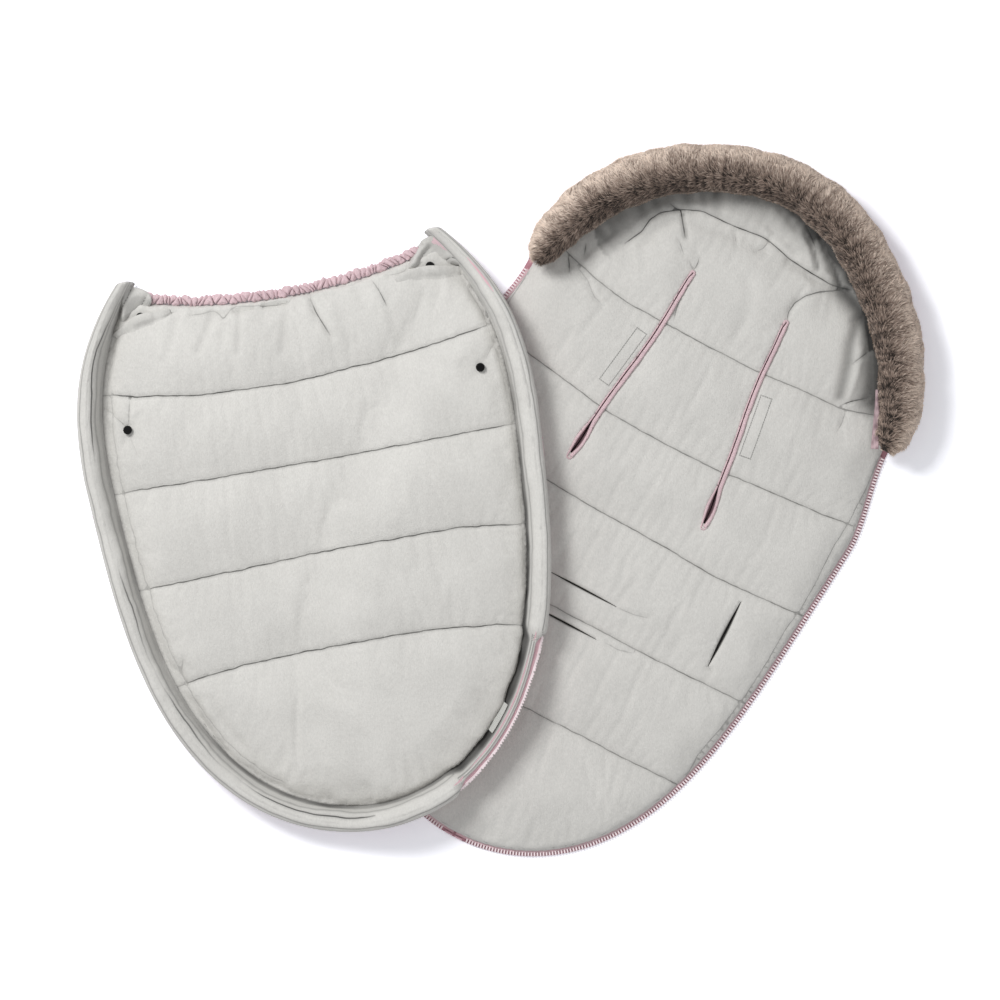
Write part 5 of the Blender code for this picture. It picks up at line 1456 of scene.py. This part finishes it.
def panel_height(places, crown=1.0):
    """Height of the panel's lining above the table, at places in the cover's own frame."""
    inside = distances(places, panel_rim, COARSE_STEP)[0]
    gaps = distances(places, COVER_SEAMS)[0]
    full = PANEL_LOW + PANEL_CROWN * crown * pillow(gaps, PANEL_CHANNEL_HALF)
    low = (places[:, 1] < WALL_TOP_Y) * np.where(places[:, 0] < 0, 0.0075, 0.0035)
    low = low * (1 + 0.35 * ripple(places, 0.024, 17.0))
    rise = rolled(np.maximum(inside - low, 0), PANEL_ROLL)
    return drape(places) + PANEL_EDGE + (full - PANEL_EDGE) * rise


cover_grooves = COVER_SEAMS + COVER_CREASES + PANEL_LINES
cover_flat, cover_faces = net(PANEL_LOOP, [], cover_grooves, NET_STEP)
gap_seam, which_seam, near_seam = distances(cover_flat, COVER_SEAMS, LINE_STEP)
gap_rim, _, near_rim = distances(cover_flat, panel_rim, RIM_STEP)
rim_distance = rim_place(near_rim)
gap_line = distances(cover_flat, PANEL_LINES, LINE_STEP)[0]
gap_crease = distances(cover_flat, COVER_CREASES, LINE_STEP)[0]
gap_stud = np.min([np.hypot(*(cover_flat - place).T) for place in STUDS.values()], axis=0)
held = (gap_seam < ON_LINE) | (gap_rim < ON_LINE) | (gap_stud < STUD_FLAT) | (gap_line < ON_LINE)
height = panel_height(cover_flat, 0.74)
stud_level = {name: float(panel_height(place[None, :], 0.45)[0]) for name, place in STUDS.items()}
for name, place in STUDS.items():
    gap = np.hypot(*(cover_flat - place).T)
    share = np.exp(-((gap / STUD_DIMPLE) ** 2))
    height = height * (1 - share) + np.minimum(height, stud_level[name] - STUD_SINK) * share
start = np.column_stack([cover_flat, height])
cover_points = puffed(start, cover_faces, held)
table_flat = on_table(cover_flat)
deep, cover_shade = valley(table_flat, COVER_VALLEYS)
cover_points[:, 2] -= deep
cover_points[:, 2] += pucker(cover_flat, gap_seam, near_seam, which_seam)
cover_points[:, 2] -= groove(gap_seam, *SEAM_GROOVE)
cover_points[:, 2] -= groove(gap_crease, *CREASE_GROOVE)
cover_points[:, 2] -= groove(gap_line, *PANEL_GROOVE)
cover_points[:, 2] += 0.0007 * ripple(cover_flat, 0.034, 6.0) * smooth(gap_rim / 0.02)
below_top = panel_top(cover_flat[:, 0]) - cover_flat[:, 1]
gathers = ripple(np.column_stack([cover_flat[:, 0], cover_flat[:, 1] * 0.2]), 0.0060, 8.0)
folds = ripple(np.column_stack([cover_flat[:, 0], cover_flat[:, 1] * 0.10]), 0.021, 7.0)
cover_points[:, 2] += 0.0020 * folds * np.exp(-below_top / 0.040) * smooth(below_top / 0.006)
gathered = (0.0017 * gathers + 0.0012) * np.exp(-((below_top / 0.011) ** 2))
cover_points[:, 2] += gathered * smooth(below_top / 0.002)
for name, place in STUDS.items():
    away = cover_flat - place
    gap = np.hypot(*away.T)
    rays = np.sin(np.arctan2(away[:, 1], away[:, 0]) * 5 + len(name))
    cover_points[:, 2] += 0.0006 * rays * np.exp(-gap / 0.014) * smooth((gap - 0.006) / 0.004)
COVER_LINES = ((COVER_SEAMS, COVER_SEAM_INKS), (COVER_CREASES, COVER_CREASE_SHADES), (PANEL_LINES, PANEL_INKS))
gap, ink = darkened_lines(cover_flat, COVER_LINES)
ink = ink * (0.35 + 0.65 * smooth((gap_rim - 0.006) / 0.022))
strength = np.interp(rim_distance, *CREVICE)
# Painted shade on the panel along the crevice at the foot of the wall.
panel_crevice_shade = 0.75 * strength * np.exp(-((gap_rim / 0.0034) ** 2)) * (cover_flat[:, 1] < WALL_TOP_Y)
cover_shade = np.maximum(cover_shade, panel_crevice_shade)
to_rim = near_rim - cover_flat
to_rim /= np.maximum(np.linalg.norm(to_rim, axis=1), 1e-6)[:, None]
bulge = (0.0030 + 0.0045 * laid_open(rim_distance)) * strength * (1 + 0.5 * ripple(near_rim, 0.030, 19.0))
bulge *= np.exp(-(((gap_rim - 0.007) / 0.008) ** 2)) * smooth(gap_rim / 0.004)
cover_points[:, :2] += to_rim * bulge[:, None]
cover_points[:, :2] = on_table(cover_points[:, :2])


def panel_floor(x, y):
    return float(drape(on_cover(np.array([[x, y]])))[0]) + PANEL_FLOOR


cover_quilt = closed_pad("cover_quilt", cover_points, cover_faces, panel_floor,
                         dict(gap=gap, ink=ink, shade=cover_shade),
                         LINING_PLAIN, "front_cover", ("cover_lining", "cover_wadding"))

# %% [markdown]
# ## The cover's outer cloth
# The same pink cloth lies under the panel and follows it over the back half's edge.

# %% The cover's outer cloth
UNDER_LEVEL = 0.0014
flat_under, under_faces = net(PANEL_LOOP, [], [], SHELL_STEP)
under = bmesh.new()
under_points = np.column_stack([on_table(flat_under), drape(flat_under) + UNDER_LEVEL])
under.from_mesh(pad_mesh("under", under_points, under_faces))
bmesh.ops.recalc_face_normals(under, faces=under.faces)
cover_cloth = finish_piece(under, "cover_outer_cloth", CLOTH_OUTSIDE, "front_cover", "cover_outer_shell")
thicken(cover_cloth, COVER_CLOTH_THICK)
under_area = area_of(flat_under, under_faces)
print("cover cloth", round(under_area, 3), "square metres")

# %% [markdown]
# ## The standing wall round the panel
# A strip of fleece stands round the panel and rolls over at its rim, so that it hides the zip,
# except at the lower right, where the zip lies spread open. A strip of pink cloth backs it. Both
# are grids laid along the rim, with the long soft folds that a curved strip gets.

# %% The wall
ROLLED = ((0.4, 4.6), (2.2, 6.4), (4.2, 10.5), (5.2, 18.0), (6.2, 26.0), (8.2, 33.0), (12.0, 37.4),
          (17.0, 40.2), (22.4, 41.0), (26.4, 39.0), (28.6, 34.6), (28.2, 29.4), (26.6, 27.4))
OPENED = ((0.4, 4.6), (4.6, 5.2), (8.2, 7.6), (10.6, 14.0), (11.6, 22.0), (12.0, 29.5), (12.5, 35.0),
          (13.6, 38.4), (14.8, 39.9), (16.0, 40.4), (17.0, 40.3), (17.7, 39.8), (17.6, 39.4))
BACKED = ((5.0, 0.6), (10.2, 4.6), (14.6, 9.0), (16.6, 18.0), (18.0, 27.0), (19.2, 36.0), (19.4, 38.0))
BACKED_OPEN = ((5.0, 0.6), (10.6, 4.6), (13.6, 9.0), (14.4, 18.0), (15.0, 27.0), (15.8, 35.0), (16.4, 37.6))
ZIP_SPAN = (17.4 * MM, 26.8 * MM)
ZIP_CLEAR, ZIP_LOWEST, ZIP_FAR, ZIP_FAR_LIFT = 0.0416, 0.0360, 0.60, 0.0014
WALL_CAP, WALL_END, WALL_HEART = 6, 0.0040, (0.0150, 0.0240)
WALL_ACROSS, BACKING_ACROSS = 60, 16


def smoothed(profile, count):
    """A profile's corners as count + 1 points on a smooth line through them."""
    points = np.array(profile) * MM
    for _ in range(3):
        cut = [points[0]]
        for a, b in zip(points, points[1:]):
            cut += [a * 0.75 + b * 0.25, a * 0.25 + b * 0.75]
        points = np.array(cut + [points[-1]])
    return resample(points, np.linalg.norm(np.diff(points, axis=0), axis=1).sum() / count)


def stitched(out, up, spread, distance):
    """Distance in mm to the wall's stitch lines and its fold line, and their darkness; the fold line's
    darkness is painted shade.
    """
    fold = 11.5 + 7.0 * swell(distance / 0.11, 4.0, 0.0)
    deep = 0.9 * smooth(swell(distance / 0.16, 8.0, 0.0) * 2.5 + 0.45) * (distance < 0)
    lines = [(24.6, 0.42), (fold, deep), (7.0, 0.30)] if spread < 0.5 else [(13.4, 0.5), (16.0, 0.5)]
    wander = 1.1 * swell(distance / 0.035, 1.0, 0.0)
    reach = [(abs(out * 1000 - at - wander), dark) for at, dark in lines if up > 9 * MM]
    return min(reach) if reach else (NO_LINE, 0.0)


def wall(name, closed_profile, opened_profile, across, material, node, wave, sewn=True):
    rolled_points, open_points = smoothed(closed_profile, across), smoothed(opened_profile, across)
    count = len(STATIONS) - 1
    capped = WALL_CAP if sewn else 0
    ends = [STATIONS[0, :4] - STATIONS[1, :4], STATIONS[-1, :4] - STATIONS[-2, :4]]

    def put(u, v):
        k, j = int(round(u * (count + 2 * capped))) - capped, int(round(v * across))
        past = max(-k, k - count, 0)
        k = min(max(k, 0), count)
        rim_x, rim_y, base_x, base_y, distance = STATIONS[k]
        spread = float(laid_open(distance))
        out, up = rolled_points[j] * (1 - spread) + open_points[j] * spread
        gap, ink = stitched(out, up, spread, distance)
        edge = math.sin(math.pi * min(v * 1.15, 1))
        long_fold = swell(distance / 0.055, v * 1.3, wave)
        short_fold = swell(distance / 0.014, v * 2.2, wave + 9)
        calm = 1 - 0.6 * spread
        out += (0.0024 * long_fold + 0.0009 * short_fold) * edge * calm
        up += (0.0016 * swell(distance / 0.040, v * 2.0, wave + 4)
               + 0.0007 * swell(distance / 0.009, v * 3.0, wave + 6)) * edge * calm
        if sewn and ZIP_SPAN[0] < out < ZIP_SPAN[1] and v < 0.93:
            cleared = max(ZIP_CLEAR - (out - ZIP_SPAN[0]), ZIP_LOWEST)
            up = max(up, cleared + ZIP_FAR_LIFT * float(distance > ZIP_FAR))
        closing = math.cos(past / max(capped, 1) * math.pi / 2)
        out = WALL_HEART[0] + (out - WALL_HEART[0]) * closing
        up = WALL_HEART[1] + (up - WALL_HEART[1]) * closing
        share = out / PANEL_INSET
        at = np.array([base_x + (rim_x - base_x) * share, base_y + (rim_y - base_y) * share])
        if past:
            way = ends[0][:2] if k == 0 else ends[1][:2]
            at += way / np.linalg.norm(way) * WALL_END * math.sin(past / capped * math.pi / 2)
        at = on_table(at[None, :])[0]
        # Painted shade at the foot of the wall, in the crevice.
        strength = float(np.interp(distance, *CREVICE))
        strength *= 1 + 0.35 * swell(distance / 0.04, 5.0, 0.0)
        crevice_shade = min(strength, 1.0) * float(1 - smooth((up - 0.006) / (0.009 + 0.012 * spread)))
        return (at[0], at[1], STATION_RISE[k] + up, gap, ink if sewn else 0.0, crevice_shade)

    bm = laid_grid(count + 2 * capped, across, put, carried=("gap", "ink", "shade"))
    return finish_piece(bm, name, material, "front_cover", node)


lining_wall = wall("wall_lining", ROLLED, OPENED, WALL_ACROSS, LINING_PLAIN, "gusset_lining", 1.0)
thicken(lining_wall, PILE_THICK, name="pile_thickness")
profile_length = float(np.linalg.norm(np.diff(smoothed(ROLLED, 40), axis=0), axis=1).sum())
outer_wall = wall("wall_outer_cloth", BACKED, BACKED_OPEN, BACKING_ACROSS, CLOTH_OUTSIDE, "gusset_outer",
                  1.0, False)
thicken(outer_wall, CLOTH_THICK)
profile_length = float(np.linalg.norm(np.diff(smoothed(BACKED, 16), axis=0), axis=1).sum())

# %% [markdown]
# ## The gathered top edge
# An elastic inside a casing of the pink cloth draws the top edge into a narrow ruffle. It is a
# tube laid along the edge, pinched at uneven places, with slanting tucks darkened by painted shade.

# %% Ruffle
RUFFLE_HALF_SPAN = 0.169
RUFFLE_STATIONS, RUFFLE_ROUND, TUCKS = 900, 26, 80
RUFFLE_MIDDLE, RUFFLE_LOWEST = (0.0062, 0.0084), 0.0036


def ruffle():
    count = RUFFLE_STATIONS
    x = np.linspace(-RUFFLE_HALF_SPAN, RUFFLE_HALF_SPAN, count + 1)
    y = panel_top(x)
    slope = np.gradient(y, x)
    normal = np.column_stack([-slope, np.ones_like(slope)])
    normal /= np.linalg.norm(normal, axis=1)[:, None]
    base = np.column_stack([x, y])
    rise = drape(base)
    rng = np.random.default_rng(5)
    tucks = np.cumsum(rng.uniform(0.0030, 0.0088, TUCKS)) - RUFFLE_HALF_SPAN
    slants = rng.uniform(-0.9, 0.9, TUCKS)
    depths = rng.uniform(0.45, 1.0, TUCKS)
    broad = ripple(np.column_stack([x, x * 0]), 0.020, 10.0)

    def put(u, v):
        k = int(round(u * count))
        angle = 2 * math.pi * v
        high = math.cos(angle)
        gaps = np.abs(x[k] - tucks - slants * 0.005 * high)
        n = int(gaps.argmin())
        tuck = depths[n] * math.exp(-((gaps[n] / 0.00062) ** 2))
        puff = min(gaps[n] / 0.0026, 1.0)
        ridge = 0.62 + 0.42 * puff ** 0.7 + 0.12 * broad[k]
        lump = 0.16 * swell(x[k] / 0.003, high * 1.5, math.sin(angle) * 1.5)
        out = RUFFLE_MIDDLE[0] + 0.0028 * broad[k] + 0.0060 * high * (ridge + 1.5 * lump)
        rising = math.sin(angle)
        up = RUFFLE_MIDDLE[1] + 0.0046 * rising * (ridge + 1.6 * lump) - 0.0016 * tuck * max(rising, 0)
        at = on_table((base[k] + normal[k] * out)[None, :])[0]
        # Painted shade in the tucks, darkest on their lower side.
        dark = min(tuck * (0.35 + 0.65 * (high < 0.55)), 1)
        return (at[0], at[1], rise[k] + max(up, RUFFLE_LOWEST), float(dark))

    bm = laid_grid(count, RUFFLE_ROUND, put, closed_across=True, carried=("fold",))
    close_ends(bm)
    piece = finish_piece(bm, "top_ruffle", CLOTH_FOLD_SHADED, "front_cover", "cover_top_casing")
    return piece


ruffle()
print("ruffle made")

# %% [markdown]
# ## Corners of the cover
# At both corners the wall's end turns over to the ruffle. The right corner shows a strip of the
# pink outside. Below it the panel's puffed edge hides the lower half of each upper press stud.
# Each corner is a small padded net, and the puffed edge a soft roll with an uneven section.

# %% Corners
CORNERS = {"left": ((118, 300), (120, 292), (124, 287), (129, 286), (136, 287.5), (143, 289), (149, 293),
                    (152, 299), (150, 305), (146, 308.5), (141, 311.5), (136, 315), (130, 319), (122, 325),
                    (118, 318)),
           "right": ((405, 270), (410, 258), (416, 247), (423, 239), (431, 235.5), (438, 236.5), (446, 239),
                     (453, 242), (461, 247), (468, 254), (476, 264), (470, 270), (458, 266), (446, 264),
                     (441, 263), (439, 258.5), (433.5, 256.6), (428, 258.5), (426, 264), (418, 268))}
CORNER_CREASES = {"left": (((132, 287), (128, 297), (121, 310), (114, 324)),
                           ((147, 295), (142, 304), (134, 312), (125, 322))),
                  "right": (((419, 263), (423, 254), (430, 247)), ((441, 262), (452, 257), (463, 262)))}
CORNER_STUD = {"left": (140, 315), "right": (433, 261)}
CORNER_TIP = {"left": (112, 300), "right": (470, 256)}
PINK_FROM, PINK_TO = (431, 243.5), (468, 258)
CORNER_STEP, CORNER_THICK = 0.0022, 0.0030
ROLLS = {"left": ((114, 336), (121, 330), (129, 323.5), (136, 319), (143, 316.5), (151, 315.5), (160, 314),
                  (170, 311)),
         "right": ((396, 281), (408, 274), (420, 269.5), (430, 268.6), (440, 268.6), (452, 268.6),
                   (462, 269), (470, 274))}
ROLL_FULL = {"left": 0.62, "right": 0.80}
ROLL_SECTION = ((0.4, 0.4), (-1.4, 1.2), (-1.7, 2.6), (0.2, 4.0), (3.6, 4.2), (8.0, 3.0), (13.0, 1.0),
                (18.0, -1.4), (14.0, -2.6), (5.0, -2.6))
quilt_tree = search_tree(cover_points)


def quilt_level(x, y):
    """The height of the cover's quilt at a place on the table."""
    found = quilt_tree.find_n((x, y, 0), 3)
    return float(np.mean([cover_points[f[1], 2] for f in found]))


def corner(word):
    outline = np.array(measured(*CORNERS[word]))
    stud = np.array(measured(CORNER_STUD[word])[0])
    far = np.array(measured(CORNER_TIP[word])[0])
    places, faces = net(curve(closed_line(outline), rounds=2)[:-1], [], [], CORNER_STEP)
    reach = np.hypot(*(places - stud).T)
    to_rim = np.hypot(*(places - far).T)
    level = 0.0140 + 0.0090 * smooth((reach - 0.009) / 0.018) + 0.0120 * (1 - smooth(to_rim / 0.030))
    folds = ripple(np.column_stack([places[:, 0], places[:, 1] * 0.5]), 0.009, 15.0)
    edge = distances(places, [closed_line(outline)], RIM_STEP)[0]
    lower = np.array([quilt_level(*p) for p in places])
    fade = smooth(edge / 0.007)
    level = np.where(places[:, 1] < stud[1] + 0.012, lower - 0.001 + (level - lower + 0.001) * fade,
                     level - 0.0035 * (1 - fade))
    level = level + 0.0015 * folds * fade
    shade = 0.10 + 0.16 * (1 - smooth((reach - 0.006) / 0.008)) + 0.14 * np.clip(-folds, 0, 1)
    points = np.column_stack([places, level])
    heights = search_tree(places)
    # The corner's creases are drawn dark as painted shade.
    gap, ink = darkened_lines(places, (([curve(measured(*line), rounds=3) for line in CORNER_CREASES[word]],
                               [0.85] * 3),))
    points[:, 2] -= groove(gap, 0.0022, 2.2)

    def below(x, y):
        return level[heights.find((x, y, 0))[1]] - CORNER_THICK

    piece = closed_pad("corner_" + word, points, faces, below, dict(gap=gap, ink=ink, shade=shade),
                       LINING_PLAIN, "front_cover", ())
    if word == "right":
        piece.data.materials.append(CLOTH_FOLD_SHADED)
        low, high = np.array(measured(PINK_FROM, PINK_TO))
        way = (high - low) / np.linalg.norm(high - low)
        for face in piece.data.polygons:
            offset = np.array(face.center[:2]) - low
            beyond = way[0] * offset[1] - way[1] * offset[0]
            if beyond > 0.0012 * math.sin(offset @ way / 0.0045) and offset @ way > 0:
                face.material_index = 1


def corner_roll(word):
    line = curve(measured(*ROLLS[word]), rounds=3, step=0.0012)
    way = directions(line)
    down = -leftward(way)
    section = np.array(ROLL_SECTION + ROLL_SECTION[:1]) * MM
    stops = np.linspace(0, 1, len(section))
    count = len(line) - 1
    below = np.array([quilt_level(*(p + d * 0.008)) for p, d in zip(line, down)])
    stud = np.array(measured(CORNER_STUD[word])[0])
    below = np.maximum(below, 0.0178 * (np.hypot(*(line - stud).T) < 0.014))
    for _ in range(6):
        below[1:-1] = (below[:-2] + 2 * below[1:-1] + below[2:]) / 4

    def put(u, v):
        k = int(round(u * count))
        taper = math.sin(math.pi * min(max(u, 0.02), 0.98)) ** 0.6
        out, up = np.interp(v, stops, section[:, 0]), np.interp(v, stops, section[:, 1])
        at = line[k] + down[k] * (out * (0.45 + 0.55 * taper) - 0.0022)
        level = below[k] + (quilt_level(*at) - below[k]) * float(smooth((out - 0.006) / 0.008))
        up = level + (up * ROLL_FULL[word] + 0.0022) * taper - 0.0022 + 0.0005 * swell(u * 8, v * 3, 3)
        return (at[0], at[1], up, NO_LINE, 0.0, 0.08)

    bm = laid_grid(count, 40, put, closed_across=True, carried=("gap", "ink", "shade"))
    close_ends(bm)
    piece = finish_piece(bm, "puffed_edge_" + word, LINING_PLAIN, "front_cover")


for word in ("left", "right"):
    corner(word)
    corner_roll(word)
print("corners made")
